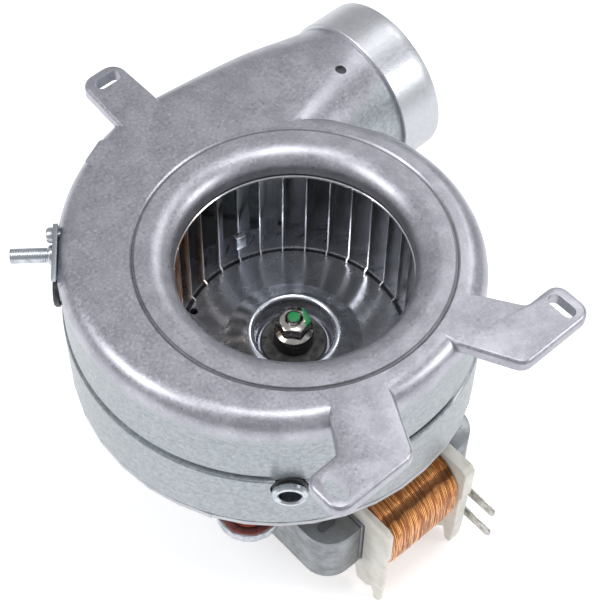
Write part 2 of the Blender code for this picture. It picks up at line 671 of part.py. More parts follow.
def shaft():
    profile = [(0, SHAFT_BOTTOM), (SHAFT_RADIUS - 0.5, SHAFT_BOTTOM), (SHAFT_RADIUS, SHAFT_BOTTOM + 0.8),
               (SHAFT_RADIUS, HUB_SEAT_Z + 3), (SHAFT_TIP_RADIUS, HUB_SEAT_Z + 3.6),
               (SHAFT_TIP_RADIUS, SHAFT_TOP - 0.6), (SHAFT_TIP_RADIUS - 0.5, SHAFT_TOP), (0, SHAFT_TOP)]
    revolve(profile, 18, "shaft", SHAFT_STEEL)


def rotor_core():
    bore = SHAFT_RADIUS + GAP
    profile = [(bore, CORE_BOTTOM - 2.0), (11.0, CORE_BOTTOM - 2.0), (12.0, CORE_BOTTOM - 0.2),
               (ROTOR_RADIUS, CORE_BOTTOM), (ROTOR_RADIUS, CORE_TOP), (12.0, CORE_TOP + 0.2),
               (11.0, CORE_TOP + 2.0), (bore, CORE_TOP + 2.0)]
    revolve(profile, 24, "rotor_core", ROTOR_ALLOY)


# ---------------------------------------------------------------- motor

def stator_core():
    half, window = CORE_HALF_WIDTH, WINDOW_HALF
    corners = [(-half, CORE_FRONT), (-window, CORE_FRONT), (-window, WINDOW_REAR), (window, WINDOW_REAR),
               (window, CORE_FRONT), (half, CORE_FRONT), (half, CORE_REAR), (-half, CORE_REAR)]
    outline = rounded(corners, [CORE_CORNER, 0, 2, 2, 0, CORE_CORNER, CORE_CORNER, CORE_CORNER], 7)
    core = prism(outline, CORE_BOTTOM, CORE_TOP)
    cut(core, cylinder(STATOR_BORE, CORE_BOTTOM - 1, CORE_TOP + 1, 32))
    cut(core, *[cylinder(2.4, CORE_BOTTOM - 1, CORE_TOP + 1, 16, centre=spot) for spot in BOLT_SPOTS])
    for sign in (-1, 1):
        for x in SHADING_X:
            low = (sign * x - SHADING_HOLE, sign * SHADING_Y - SHADING_HOLE, CORE_BOTTOM - 1)
            high = (sign * x + SHADING_HOLE, sign * SHADING_Y + SHADING_HOLE, CORE_TOP + 1)
            cut(core, box(low, high))
    core.name = "stator_core"
    return finish(core, LAMINATION)


def shading_ring(number, sign):
    """Rectangular copper loop round one pole tip."""
    half = SHADING_HOLE - GAP
    low_z, high_z = CORE_BOTTOM - GAP, CORE_TOP + GAP
    y = sign * SHADING_Y
    ends = sorted(sign * x for x in SHADING_X)
    loop = box((ends[0] - half, y - half, low_z - 2 * half), (ends[1] + half, y + half, high_z + 2 * half))
    cut(loop, box((ends[0] + half, y - 3, low_z), (ends[1] - half, y + 3, high_z)))
    loop.name = f"shading_ring_{number}"
    finish(loop, COPPER)


def coil_leg():
    reach = WINDOW_HALF - GAP
    return box((-reach, CORE_FRONT, CORE_BOTTOM), (reach, LEG_REAR, CORE_TOP), "coil_leg", LAMINATION)


def flange_solid(x_low, x_high):
    """Bobbin end flange with bevelled corners and a pointed foot at the front."""
    outline = [(FLANGE_REAR, FLANGE_TOP - 4), (FLANGE_REAR - 4, FLANGE_TOP), (FLANGE_FRONT + 2, FLANGE_TOP),
               (FLANGE_FRONT, FLANGE_TOP - 2), (FLANGE_FRONT, -86.5), (FLANGE_FRONT + 1, -88.5),
               (FLANGE_FRONT + 1.4, -112.0), (-68.5, FLANGE_TIP), (-66.0, FLANGE_TIP), (-64.5, -114.5),
               (-62.0, -117.5), (-57.0, -117.5), (-56.0, FLANGE_BOTTOM), (FLANGE_REAR - 4, FLANGE_BOTTOM),
               (FLANGE_REAR, FLANGE_BOTTOM + 4)]
    return loft([[(x, y, z) for y, z in outline] for x in (x_low, x_high)])


def bobbin():
    """Nylon bobbin: a square tube with a thin flange, a thick one and the terminals' block."""
    inner = GAP
    wall = inner + BOBBIN_WALL
    body = box((-BOBBIN_HALF, CORE_FRONT - wall, CORE_BOTTOM - wall),
               (BOBBIN_HALF, LEG_REAR + wall, CORE_TOP + wall))
    join(body, flange_solid(-BOBBIN_HALF, THIN_FLANGE - BOBBIN_HALF))
    join(body, flange_solid(BOBBIN_HALF - THICK_FLANGE, BOBBIN_HALF))
    join(body, box(*TERMINAL_BLOCK))
    cut(body, box((-BOBBIN_HALF - 1, CORE_FRONT - inner, CORE_BOTTOM - inner),
                  (BOBBIN_HALF + 1, LEG_REAR + inner, CORE_TOP + inner)))
    for z in TERMINAL_HEIGHTS:
        slot_ends = (TERMINAL_SHOULDER - 1, TERMINAL_ROOT + GAP)
        cut(body, box((TERMINAL_X - 0.7, slot_ends[0], z - 2.7), (TERMINAL_X + 0.7, slot_ends[1], z + 2.7)))
    body.name = "bobbin"
    return finish(body, NYLON)


def coil():
    left, right = THIN_FLANGE + GAP - BOBBIN_HALF, BOBBIN_HALF - THICK_FLANGE - GAP
    wall = BOBBIN_WALL + 2 * GAP
    corners = [(COIL_FRONT, COIL_TOP), (COIL_REAR, COIL_TOP), (COIL_REAR, COIL_BOTTOM),
               (COIL_FRONT, COIL_BOTTOM)]
    outline = rounded(corners, COIL_CORNERS, 6)
    body = loft([[(x, y, z) for y, z in outline] for x in (left, right)])
    cut(body, box((left - 1, CORE_FRONT - wall, CORE_BOTTOM - wall),
                  (right + 1, LEG_REAR + wall, CORE_TOP + wall)))
    body.name = "coil"
    return finish(body, COPPER)


def terminals():
    for number, z in enumerate(TERMINAL_HEIGHTS, 1):
        half = TERMINAL_WIDTH / 2
        outline = [(TERMINAL_SHOULDER, z - half), (TERMINAL_END + 1.4, z - half), (TERMINAL_END, z - half / 2),
                   (TERMINAL_END, z + half / 2), (TERMINAL_END + 1.4, z + half), (TERMINAL_SHOULDER, z + half)]
        blade = loft([[(x, y, h) for y, h in outline] for x in (TERMINAL_X - 0.4, TERMINAL_X + 0.4)])
        join(blade, box((TERMINAL_X - 0.3, TERMINAL_SHOULDER - 0.5, z - half + 0.1),
                        (TERMINAL_X + 0.3, TERMINAL_ROOT, z + half - 0.1)))
        across = Matrix.Translation((TERMINAL_X, TERMINAL_END + 3.9, z)) @ Matrix.Rotation(math.pi / 2, 4, "Y")
        cut(blade, turned(cylinder(0.8, -2, 2, 12), across))
        blade.name = f"terminal_{number}"
        finish(blade, TINNED)


def ring(name, mat, inner, outer, low, high, segments=18):
    return revolve([(inner, low), (outer, low), (outer, high), (inner, high)], segments, name, mat)


def lower_bridge():
    """Cast bridge below the stack that carries the lower bearing."""
    face = CORE_BOTTOM - GAP
    deck = box((-34.0, -6.0, LOWER_DECK[0]), (34.0, 20.5, LOWER_DECK[1]))
    for spot in BOLT_SPOTS:
        join(deck, cylinder(4.4, LOWER_DECK[0] + 1, face, 16, centre=spot))
    join(deck, cylinder(BEARING_BOSS, LOWER_BOSS_END, LOWER_DECK[1] - 1, 24))
    cut(deck, cylinder(BEARING_RADIUS + GAP, LOWER_BOSS_END - 1, face, 24))
    cut(deck, *[cylinder(2.3, LOWER_DECK[0] - 1, face + 1, 12, centre=spot) for spot in BOLT_SPOTS])
    deck.name = "lower_bridge"
    finish(deck, ZAMAK)


def bearings():
    bore = SHAFT_RADIUS + GAP
    ring("upper_bearing", BRONZE, bore, BEARING_RADIUS, CORE_TOP + 3.4, UPPER_BOSS_END - 0.4)
    ring("lower_bearing", BRONZE, bore, BEARING_RADIUS, LOWER_BOSS_END + 0.4, CORE_BOTTOM - 3.4)
    ring("upper_thrust_washer", NYLON, bore, WASHER_RADIUS, CORE_TOP + 2.3, CORE_TOP + 3.1)
    ring("lower_thrust_washer", NYLON, bore, WASHER_RADIUS, CORE_BOTTOM - 3.1, CORE_BOTTOM - 2.3)


def motor_bracket():
    """Steel spider that carries the upper bearing and hangs the motor by three cupped arms."""
    low = BRACKET_TOP - BRACKET_THICKNESS
    plate = cylinder(19.0, low, BRACKET_TOP, 30)
    join(plate, box((-34.5, 10.5, low + 0.05), (34.5, 21.5, BRACKET_TOP - 0.05)))
    for number, (radius, angle) in enumerate(MOUNTS, 1):
        inset = 0.1 * number
        arm = box((12.0, -6.4, inset), (radius - 4, 6.4, BRACKET_THICKNESS - inset))
        join(plate, turned(arm, Matrix.Translation((0, 0, low)) @ Matrix.Rotation(math.radians(angle), 4, "Z")))
        join(plate, cylinder(CUP_RADIUS, low - inset, BRACKET_TOP + 2.0, 18, centre=polar(radius, angle)))
    for radius, angle in MOUNTS:
        centre = polar(radius, angle)
        cut(plate, cylinder(CUP_RADIUS - 1.2, BRACKET_TOP, BRACKET_TOP + 3.0, 18, centre=centre))
        cut(plate, cylinder(2.4, low - 1, BRACKET_TOP + 1, 12, centre=centre))
    for spot in BOLT_SPOTS:
        join(plate, cylinder(4.4, CORE_TOP + GAP, BRACKET_TOP - 0.5, 12, centre=spot))
    join(plate, cylinder(BEARING_BOSS, low + 0.5, UPPER_BOSS_END, 24))
    cut(plate, cylinder(BEARING_RADIUS + GAP, low - 1, UPPER_BOSS_END + 1, 24))
    cut(plate, *[cylinder(2.3, CORE_TOP - 1, BRACKET_TOP + 1, 12, centre=spot) for spot in BOLT_SPOTS])
    plate.name = "motor_bracket"
    finish(plate, ZINC)


def through_bolts():
    head_seat = BRACKET_TOP + GAP
    nut_top = LOWER_DECK[0] - GAP
    for number, (x, y) in enumerate(BOLT_SPOTS, 1):
        screw(f"through_bolt_{number}", (x, y), head_seat, head_seat - nut_top + 4.0, 1.9, 3.8, 2.6, up=False)
        hexagon = [(x + dx, y + dy) for dx, dy in (polar(4.0, 60 * k) for k in range(6))]
        nut = prism(hexagon, nut_top - 2.8, nut_top)
        cut(nut, cylinder(1.9 + GAP, nut_top - 4, nut_top + 1, 12, centre=(x, y)))
        nut.name = f"bolt_nut_{number}"
        finish(nut, ZINC)


def motor_mounts():
    for number, (radius, angle) in enumerate(MOUNTS, 1):
        centre = polar(radius, angle)
        low, high = BRACKET_TOP + GAP, COVER_BOTTOM - GAP
        profile = [(2.4, low), (6.9, low), (6.9, low + 1.6), (6.2, low + 3.0), (6.0, low + 5.0),
                   (7.6, high - 2.0), (6.8, high), (2.4, high)]
        revolve(profile, 16, f"mount_grommet_{number}", SILICONE, centre)
        screw(f"mount_screw_{number}", centre, BRACKET_TOP - BRACKET_THICKNESS - GAP, 15.4, 1.9, 4.0, 2.6)


# ---------------------------------------------------------------- build

def build():
    for old in list(bpy.data.objects):
        bpy.data.objects.remove(old, do_unlink=True)
    volute_housing()
    rear_cover()
    housing_fittings()
    blade_cage()
    back_disc()
    impeller_hub()
    shaft()
    rotor_core()
    stator_core()
    shading_ring(1, 1)
    shading_ring(2, -1)
    coil_leg()
    bobbin()
    coil()
    terminals()
    lower_bridge()
    bearings()
    motor_bracket()
    through_bolts()
    motor_mounts()


build()
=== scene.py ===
"""Looks of the flue-gas extractor fan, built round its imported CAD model.

Shapes are drawn in millimetres in the part's own frame: +Z along the shaft towards the inlet,
+X along the outlet, z = 0 at the lugs' seats.
"""
import json
import math

import bmesh
import bpy
from mathutils import Matrix, Vector, noise


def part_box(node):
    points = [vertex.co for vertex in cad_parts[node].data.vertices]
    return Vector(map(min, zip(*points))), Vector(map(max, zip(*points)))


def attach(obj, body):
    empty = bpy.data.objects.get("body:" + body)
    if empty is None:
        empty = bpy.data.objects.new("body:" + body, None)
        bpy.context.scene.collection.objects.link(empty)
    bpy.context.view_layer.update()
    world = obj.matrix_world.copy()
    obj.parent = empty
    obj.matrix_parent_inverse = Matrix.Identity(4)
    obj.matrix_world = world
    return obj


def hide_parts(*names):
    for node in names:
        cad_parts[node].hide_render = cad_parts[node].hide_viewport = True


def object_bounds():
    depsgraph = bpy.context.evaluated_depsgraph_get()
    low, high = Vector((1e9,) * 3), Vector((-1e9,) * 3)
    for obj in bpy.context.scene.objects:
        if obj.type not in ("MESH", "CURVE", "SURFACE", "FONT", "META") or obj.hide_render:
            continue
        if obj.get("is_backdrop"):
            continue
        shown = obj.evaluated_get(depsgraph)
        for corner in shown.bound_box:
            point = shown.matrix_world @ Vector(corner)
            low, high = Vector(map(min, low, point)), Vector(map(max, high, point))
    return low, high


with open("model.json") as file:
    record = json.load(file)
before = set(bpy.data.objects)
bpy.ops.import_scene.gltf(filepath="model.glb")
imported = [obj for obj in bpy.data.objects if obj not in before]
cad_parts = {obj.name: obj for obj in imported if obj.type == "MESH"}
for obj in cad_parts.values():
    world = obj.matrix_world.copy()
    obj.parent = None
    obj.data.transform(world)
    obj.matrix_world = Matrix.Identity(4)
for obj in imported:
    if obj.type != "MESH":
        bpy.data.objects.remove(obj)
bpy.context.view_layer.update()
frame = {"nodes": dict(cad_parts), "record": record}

MM = 0.001
STATIC = "fan_frame"
SPINNING = "rotor"
WELD = 0.000002
SMOOTH_ANGLE = math.radians(32)
THREAD_SMOOTH = math.radians(50)


def low(node):
    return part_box(node)[0] / MM


def high(node):
    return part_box(node)[1] / MM


def middle(node):
    return (low(node) + high(node)) / 2


def mount(name):
    found = next(m for m in frame["record"]["mounts"] if m["name"] == name)
    return Vector(found["pos_m"]) / MM


# ---------------------------------------------------------------- mesh helpers

def weld(mesh):
    bm = bmesh.new()
    bm.from_mesh(mesh)
    bmesh.ops.remove_doubles(bm, verts=bm.verts, dist=WELD)
    bmesh.ops.dissolve_degenerate(bm, edges=bm.edges, dist=WELD)
    bm.to_mesh(mesh)
    bm.free()


def make_object(name, bm):
    """Turn a bmesh in millimetres into an object in metres."""
    bmesh.ops.recalc_face_normals(bm, faces=bm.faces)
    bm.transform(Matrix.Scale(MM, 4))
    mesh = bpy.data.meshes.new(name)
    bm.to_mesh(mesh)
    bm.free()
    obj = bpy.data.objects.new(name, mesh)
    bpy.context.scene.collection.objects.link(obj)
    return obj


def evaluated_mesh(obj):
    graph = bpy.context.evaluated_depsgraph_get()
    graph.update()
    return bpy.data.meshes.new_from_object(obj.evaluated_get(graph))


def combine(target, tools, operation):
    for tool in tools:
        modifier = target.modifiers.new("combine", "BOOLEAN")
        modifier.solver = "EXACT"
        modifier.operation = operation
        modifier.object = tool
        mesh = evaluated_mesh(target)
        target.modifiers.clear()
        weld(mesh)
        target.data = mesh
        bpy.data.objects.remove(tool, do_unlink=True)
    return target


def join(target, *tools):
    return combine(target, tools, "UNION")


def cut(target, *tools):
    return combine(target, tools, "DIFFERENCE")


def loft(rings):
    """Skin rings of equally many points and close both ends."""
    bm = bmesh.new()
    loops = [[bm.verts.new(point) for point in ring] for ring in rings]
    count = len(loops[0])
    for lower, upper in zip(loops, loops[1:]):
        for i in range(count):
            j = (i + 1) % count
            bm.faces.new((lower[i], lower[j], upper[j], upper[i]))
    bm.faces.new(loops[0])
    bm.faces.new(loops[-1])
    return make_object("tool", bm)


def prism(outline, z_low, z_high):
    return loft([[(x, y, z) for x, y in outline] for z in (z_low, z_high)])


def box(a, b):
    return prism([(a[0], a[1]), (b[0], a[1]), (b[0], b[1]), (a[0], b[1])], a[2], b[2])


def revolve(profile, segments, name="tool", centre=(0.0, 0.0)):
    """Spin a closed profile of (radius, z) about a vertical axis through centre."""
    bm = bmesh.new()
    columns = []
    turn = [2 * math.pi * i / segments for i in range(segments)]
    for radius, z in profile:
        if radius < 1e-6:
            columns.append([bm.verts.new((centre[0], centre[1], z))] * segments)
        else:
            columns.append([bm.verts.new((centre[0] + radius * math.cos(a),
                                          centre[1] + radius * math.sin(a), z)) for a in turn])
    for first, second in zip(columns, columns[1:] + columns[:1]):
        for i in range(segments):
            j = (i + 1) % segments
            corners = list(dict.fromkeys((first[i], first[j], second[j], second[i])))
            if len(corners) > 2:
                bm.faces.new(corners)
    return make_object(name, bm)


def cylinder(radius, z_low, z_high, segments=48, centre=(0.0, 0.0)):
    return revolve([(0, z_low), (radius, z_low), (radius, z_high), (0, z_high)], segments, centre=centre)


def turned(obj, placement):
    placement = placement.copy()
    placement.translation *= MM
    obj.data.transform(placement)
    return obj


def polar(radius, angle):
    return (radius * math.cos(math.radians(angle)), radius * math.sin(math.radians(angle)))


def outward(angle, distance, z):
    """Placement that turns +Z to the horizontal direction at angle."""
    shift = Vector((*polar(distance, angle), z))
    return (Matrix.Translation(shift) @ Matrix.Rotation(math.radians(angle), 4, "Z")
            @ Matrix.Rotation(math.pi / 2, 4, "Y"))


def signed_area(outline):
    return sum(a[0] * b[1] - a[1] * b[0] for a, b in zip(outline, outline[1:] + outline[:1])) / 2


def offset_outline(points, distance):
    """Move a clockwise outline inwards, by one distance or by one for each point."""
    reach = distance if isinstance(distance, list) else [distance] * len(points)
    moved = []
    count = len(points)
    for i in range(count):
        before, here, after = (Vector(points[(i + k) % count]) for k in (-1, 0, 1))
        first = (here - before).normalized()
        second = (after - here).normalized()
        inward = (Vector((first.y, -first.x)) + Vector((second.y, -second.x))).normalized()
        stretch = inward.dot(Vector((first.y, -first.x)))
        moved.append(tuple(here + inward * (reach[i] / stretch)))
    return moved


def rounded(points, radius, steps=8):
    """Replace the corners of an outline by arcs; radius is one value or one for each corner."""
    radii = radius if isinstance(radius, (list, tuple)) else [radius] * len(points)
    outline = []
    count = len(points)
    for i, reach in enumerate(radii):
        before, here, after = (Vector(points[(i + k) % count]) for k in (-1, 0, 1))
        if reach <= 0:
            outline.append((here.x, here.y))
            continue
        back = (before - here).normalized()
        ahead = (after - here).normalized()
        half = back.angle(ahead) / 2
        start = here + back * (reach / math.tan(half))
        centre = here + (back + ahead).normalized() * (reach / math.sin(half))
        spoke = start - centre
        sweep = (math.pi - 2 * half) * (1 if back.x * ahead.y - back.y * ahead.x < 0 else -1)
        for k in range(steps + 1):
            arm = spoke.copy()
            arm.rotate(Matrix.Rotation(sweep * k / steps, 2))
            outline.append(tuple(centre + arm))
    return outline


def slot_outline(centre, direction, reach, width):
    """A slot with round ends: two half circles, each reach away from centre."""
    steps = 12
    outline = []
    for side in (0, 180):
        hub = Vector(centre) + Vector(polar(reach, direction + side))
        for k in range(steps + 1):
            outline.append(tuple(hub + Vector(polar(width / 2, direction + side - 90 + 180 * k / steps))))
    return outline


def place(obj, mat, body, nodes=(), smooth=SMOOTH_ANGLE, name=None):
    """Give a finished piece its material, its body and the CAD nodes it stands for."""
    if name:
        obj.name = name
    obj.data.materials.clear()
    obj.data.materials.append(mat)
    for polygon in obj.data.polygons:
        polygon.material_index = 0
    obj.data.shade_smooth()
    obj.data.set_sharp_from_angle(angle=smooth)
    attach(obj, body)
    if nodes:
        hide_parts(*nodes)
    return obj


def soften(node, mat, body, width, segments=2):
    """A copy of a CAD node with its edges rounded, which stands for the node."""
    mesh = frame["nodes"][node].data.copy()
    bm = bmesh.new()
    bm.from_mesh(mesh)
    bmesh.ops.remove_doubles(bm, verts=bm.verts, dist=WELD)
    bmesh.ops.dissolve_limit(bm, angle_limit=math.radians(1), verts=bm.verts, edges=bm.edges)
    bm.to_mesh(mesh)
    bm.free()
    obj = bpy.data.objects.new(node + "_look", mesh)
    bpy.context.scene.collection.objects.link(obj)
    bevel = obj.modifiers.new("edges", "BEVEL")
    bevel.width = width * MM
    bevel.segments = segments
    bevel.limit_method = "ANGLE"
    bevel.angle_limit = math.radians(40)
    bevel.use_clamp_overlap = True
    obj.data = evaluated_mesh(obj)
    obj.modifiers.clear()
    return place(obj, mat, body, (node,))


# ---------------------------------------------------------------- materials

class Shader:
    """One Principled material and short ways to add its nodes."""

    def __init__(self, name, metallic, roughness, colour):
        self.mat = bpy.data.materials.new(name)
        self.mat.use_nodes = True
        self.tree = self.mat.node_tree
        self.bsdf = self.tree.nodes["Principled BSDF"]
        self.bsdf.inputs["Metallic"].default_value = metallic
        self.bsdf.inputs["Roughness"].default_value = roughness
        self.bsdf.inputs["Base Color"].default_value = (*colour, 1.0)
        self.place = self.node("ShaderNodeTexCoord").outputs["Object"]

    def node(self, kind, **settings):
        made = self.tree.nodes.new(kind)
        for key, value in settings.items():
            setattr(made, key, value)
        return made

    def link(self, source, target):
        self.tree.links.new(source, target)

    def feed(self, socket, value):
        if hasattr(value, "node"):
            self.link(value, socket)
        else:
            socket.default_value = value

    def stretched(self, scale):
        mapping = self.node("ShaderNodeMapping")
        self.link(self.place, mapping.inputs["Vector"])
        mapping.inputs["Scale"].default_value = scale
        return mapping.outputs["Vector"]

    def noise(self, size, detail=4.0, roughness=0.6, stretch=None):
        """Noise whose blobs are about size millimetres across."""
        made = self.node("ShaderNodeTexNoise")
        self.link(self.stretched(stretch) if stretch else self.place, made.inputs["Vector"])
        made.inputs["Scale"].default_value = 1.0 / (size * MM)
        made.inputs["Detail"].default_value = detail
        made.inputs["Roughness"].default_value = roughness
        return made.outputs["Fac"]

    def band(self, value, start, end, low_value=0.0, high_value=1.0):
        made = self.node("ShaderNodeMapRange")
        made.interpolation_type = "SMOOTHSTEP"
        self.feed(made.inputs["Value"], value)
        numbers = {"From Min": start, "From Max": end, "To Min": low_value, "To Max": high_value}
        for name, number in numbers.items():
            made.inputs[name].default_value = number
        return made.outputs["Result"]

    def math(self, operation, first, second=0.0):
        made = self.node("ShaderNodeMath", operation=operation)
        self.feed(made.inputs[0], first)
        self.feed(made.inputs[1], second)
        return made.outputs["Value"]

    def mix(self, factor, first, second):
        made = self.node("ShaderNodeMix", data_type="RGBA")
        self.feed(made.inputs["Factor"], factor)
        for socket, value in ((made.inputs[6], first), (made.inputs[7], second)):
            self.feed(socket, (*value, 1.0) if isinstance(value, tuple) else value)
        return made.outputs[2]

    def axis(self, name):
        made = self.node("ShaderNodeSeparateXYZ")
        self.link(self.place, made.inputs["Vector"])
        return made.outputs[name]

    def radius(self):
        squares = [self.math("POWER", self.axis(a), 2.0) for a in "XY"]
        return self.math("SQRT", self.math("ADD", *squares))

    def colour(self, value):
        self.link(value, self.bsdf.inputs["Base Color"])

    def rough(self, value):
        self.link(value, self.bsdf.inputs["Roughness"])

    def bump(self, height, depth, strength=1.0, under=None):
        made = self.node("ShaderNodeBump")
        made.inputs["Distance"].default_value = depth * MM
        made.inputs["Strength"].default_value = strength
        self.feed(made.inputs["Height"], height)
        if under is not None:
            self.link(under, made.inputs["Normal"])
        self.link(made.outputs["Normal"], self.bsdf.inputs["Normal"])
        return made.outputs["Normal"]


def cast_material(name, light, dark):
    """Die-cast aluminium: cloudy colour, fine speckle, pits, handling scratches."""
    s = Shader(name, 0.85, 0.42, light)
    cloud = s.noise(22.0, 3.0)
    speckle = s.noise(0.9, 5.0, 0.75)
    grain = s.noise(0.35, 2.0)
    base = s.mix(s.band(cloud, 0.35, 0.65), light, dark)
    base = s.mix(s.band(speckle, 0.52, 0.74, 0.0, 0.5), base, tuple(min(1.0, c * 1.35) for c in light))
    base = s.mix(s.band(speckle, 0.44, 0.26, 0.0, 0.45), base, tuple(c * 0.55 for c in dark))
    pits = s.band(s.noise(2.4, 2.0), 0.295, 0.255)
    base = s.mix(s.math("MULTIPLY", pits, 0.8), base, (0.05, 0.05, 0.06))
    scratch = s.band(s.noise(3.0, 3.0, 0.7, (9.0, 0.35, 1.0)), 0.66, 0.73, 0.0, 0.45)
    base = s.mix(scratch, base, (0.82, 0.83, 0.86))
    s.colour(base)
    unevenness = s.math("ADD", s.math("MULTIPLY", cloud, 0.6), s.math("MULTIPLY", speckle, 0.4))
    s.rough(s.band(unevenness, 0.3, 0.7, 0.36, 0.52))
    fine = s.bump(grain, 0.03, 0.5)
    s.bump(s.math("SUBTRACT", speckle, pits), 0.09, 0.5, fine)
    return s.mat


NECK_HOLE = (66.7, 50.2)


def wall_streaks(s, amount):
    """Rubbed streaks that run round the wall."""
    return s.band(s.noise(1.6, 4.0, 0.7, (0.5, 0.5, 5.0)), 0.5, 0.72, 0.0, amount)


def housing_material():
    light, dark = (0.45, 0.45, 0.495), (0.36, 0.36, 0.40)
    # Painted shade: the wall below the shoulder gets darker colours than the top plate.
    shaded_wall_light, shaded_wall_dark = (0.37, 0.40, 0.42), (0.285, 0.31, 0.33)
    s = Shader("die_cast", 0.84, 0.40, light)
    cloud = s.noise(9.0, 4.0, 0.6)
    speckle = s.noise(1.1, 5.0, 0.75)
    grain = s.noise(0.35, 2.0)
    patch = s.noise(1.7, 5.0, 0.75)
    top = s.mix(s.band(cloud, 0.35, 0.65), light, dark)
    top = s.mix(s.band(speckle, 0.52, 0.68, 0.0, 0.5), top, (0.62, 0.62, 0.66))
    wall = s.mix(s.band(patch, 0.40, 0.60), shaded_wall_dark, shaded_wall_light)
    wall = s.mix(wall_streaks(s, 0.35), wall, (0.72, 0.75, 0.77))
    # Painted shade: from about 6 mm below the top, the darker wall colours take over from the top's.
    base = s.mix(s.band(s.axis("Z"), -0.006, -0.011), top, wall)
    base = s.mix(s.band(speckle, 0.45, 0.30, 0.0, 0.6), base, (0.19, 0.19, 0.21))
    pits = s.band(s.noise(1.8, 2.0), 0.25, 0.21)
    base = s.mix(s.math("MULTIPLY", pits, 0.8), base, (0.06, 0.06, 0.07))
    scuffs = s.band(s.noise(3.0, 3.0, 0.7, (6.0, 0.45, 1.0)), 0.66, 0.72, 0.0, 0.35)
    base = s.mix(scuffs, base, (0.68, 0.68, 0.72))
    # Painted shade: the groove round the wall is darkened.
    groove_shade = s.math("MULTIPLY", s.band(s.radius(), 0.0623, 0.0619), s.band(s.axis("Z"), -0.0285, -0.0292))
    above = s.band(s.axis("Z"), -0.0326, -0.0320)
    base = s.mix(s.math("MULTIPLY", s.math("MULTIPLY", groove_shade, above), 0.8), base, (0.10, 0.11, 0.12))
    # Painted highlight: the outlet spigot is coloured lighter.
    spigot_highlight = s.band(s.axis("X"), 0.0778, 0.0788, 0.0, 0.6)
    base = s.mix(spigot_highlight, base, (0.66, 0.67, 0.70))
    # Painted shade: the ring groove round the inlet is darkened.
    ring_groove_shade = s.math("MULTIPLY", s.band(s.radius(), 0.0513, 0.0515), s.band(s.radius(), 0.0526, 0.0524))
    ring_groove_shade = s.math("MULTIPLY", ring_groove_shade, s.band(s.axis("Z"), -0.0030, -0.0028, 0.0, 0.6))
    base = s.mix(ring_groove_shade, base, (0.12, 0.12, 0.13))
    # Painted shade: the wall of the small hole in the neck is darkened.
    across = s.math("SUBTRACT", s.axis("X"), NECK_HOLE[0] * MM)
    along = s.math("SUBTRACT", s.axis("Y"), NECK_HOLE[1] * MM)
    squares = [s.math("MULTIPLY", side, side) for side in (across, along)]
    away = s.math("POWER", s.math("ADD", *squares), 0.5)
    base = s.mix(s.math("MULTIPLY", s.band(away, 0.00205, 0.00195), 0.8), base, (0.05, 0.06, 0.065))
    s.colour(base)
    s.rough(s.band(speckle, 0.3, 0.7, 0.30, 0.46))
    fine = s.bump(grain, 0.03, 0.4)
    s.bump(s.math("SUBTRACT", speckle, pits), 0.10, 0.5, fine)
    return s.mat


def blade_material():
    s = Shader("stainless_blade", 0.96, 0.2, (0.74, 0.74, 0.75))
    heat = s.noise(9.0, 3.0, 0.6)
    lean = s.math("SUBTRACT", s.math("MULTIPLY", s.axis("Y"), 0.68), s.math("MULTIPLY", s.axis("X"), 0.73))
    left = s.band(lean, 0.026, 0.036)
    tint = s.math("MULTIPLY", left, s.band(heat, 0.40, 0.60, 0.2, 0.9))
    base = s.mix(tint, (0.74, 0.74, 0.76), (0.66, 0.47, 0.33))
    streak = s.noise(2.0, 3.0, 0.6, (1.0, 1.0, 0.2))
    base = s.mix(s.band(streak, 0.5, 0.75, 0.0, 0.25), base, (0.88, 0.88, 0.90))
    s.colour(base)
    s.rough(s.band(streak, 0.3, 0.7, 0.16, 0.26))
    s.bump(streak, 0.01, 0.3)
    return s.mat


def disc_material():
    s = Shader("polished_disc", 0.94, 0.22, (0.84, 0.86, 0.92))
    smear = s.noise(6.0, 4.0, 0.6)
    spots = s.band(s.noise(0.8, 3.0), 0.66, 0.74)
    base = s.mix(s.band(smear, 0.35, 0.7), (0.84, 0.87, 0.95), (0.74, 0.77, 0.85))
    base = s.mix(s.math("MULTIPLY", spots, 0.4), base, (0.95, 0.93, 0.90))
    # Painted shade: the ring under the blade feet on the disc is darkened.
    blade_foot_shade = s.math("MULTIPLY", s.band(s.radius(), 0.0380, 0.0383), s.band(s.radius(), 0.0398, 0.0395))
    base = s.mix(s.math("MULTIPLY", blade_foot_shade, 0.85), base, (0.04, 0.04, 0.045))
    s.colour(base)
    s.rough(s.band(smear, 0.3, 0.7, 0.20, 0.30))
    rings = s.node("ShaderNodeTexNoise")
    rings.noise_dimensions = "1D"
    rings.inputs["Scale"].default_value = 2500.0
    s.link(s.radius(), rings.inputs["W"])
    s.bump(rings.outputs["Fac"], 0.01, 0.25)
    return s.mat


def plated_material(name, light, dark, roughness=(0.22, 0.42)):
    s = Shader(name, 1.0, 0.3, light)
    patch = s.noise(3.0, 4.0, 0.65)
    grain = s.noise(0.4, 3.0)
    base = s.mix(s.band(patch, 0.38, 0.65), light, dark)
    base = s.mix(s.band(grain, 0.60, 0.75, 0.0, 0.4), base, tuple(min(1.0, c * 1.4) for c in light))
    s.colour(base)
    s.rough(s.band(patch, 0.3, 0.7, *roughness))
    s.bump(grain, 0.03, 0.4)
    return s.mat


def moulded_material(name, light, dark, roughness, subsurface=0.0):
    s = Shader(name, 0.0, roughness, light)
    cloud = s.noise(7.0, 3.0)
    grain = s.noise(0.25, 3.0)
    s.colour(s.mix(s.band(cloud, 0.35, 0.7), light, dark))
    s.rough(s.band(cloud, 0.3, 0.7, roughness - 0.07, roughness + 0.08))
    s.bump(grain, 0.03, 0.35)
    s.bsdf.inputs["Subsurface Weight"].default_value = subsurface
    s.bsdf.inputs["Subsurface Radius"].default_value = (0.002, 0.0015, 0.001)
    return s.mat


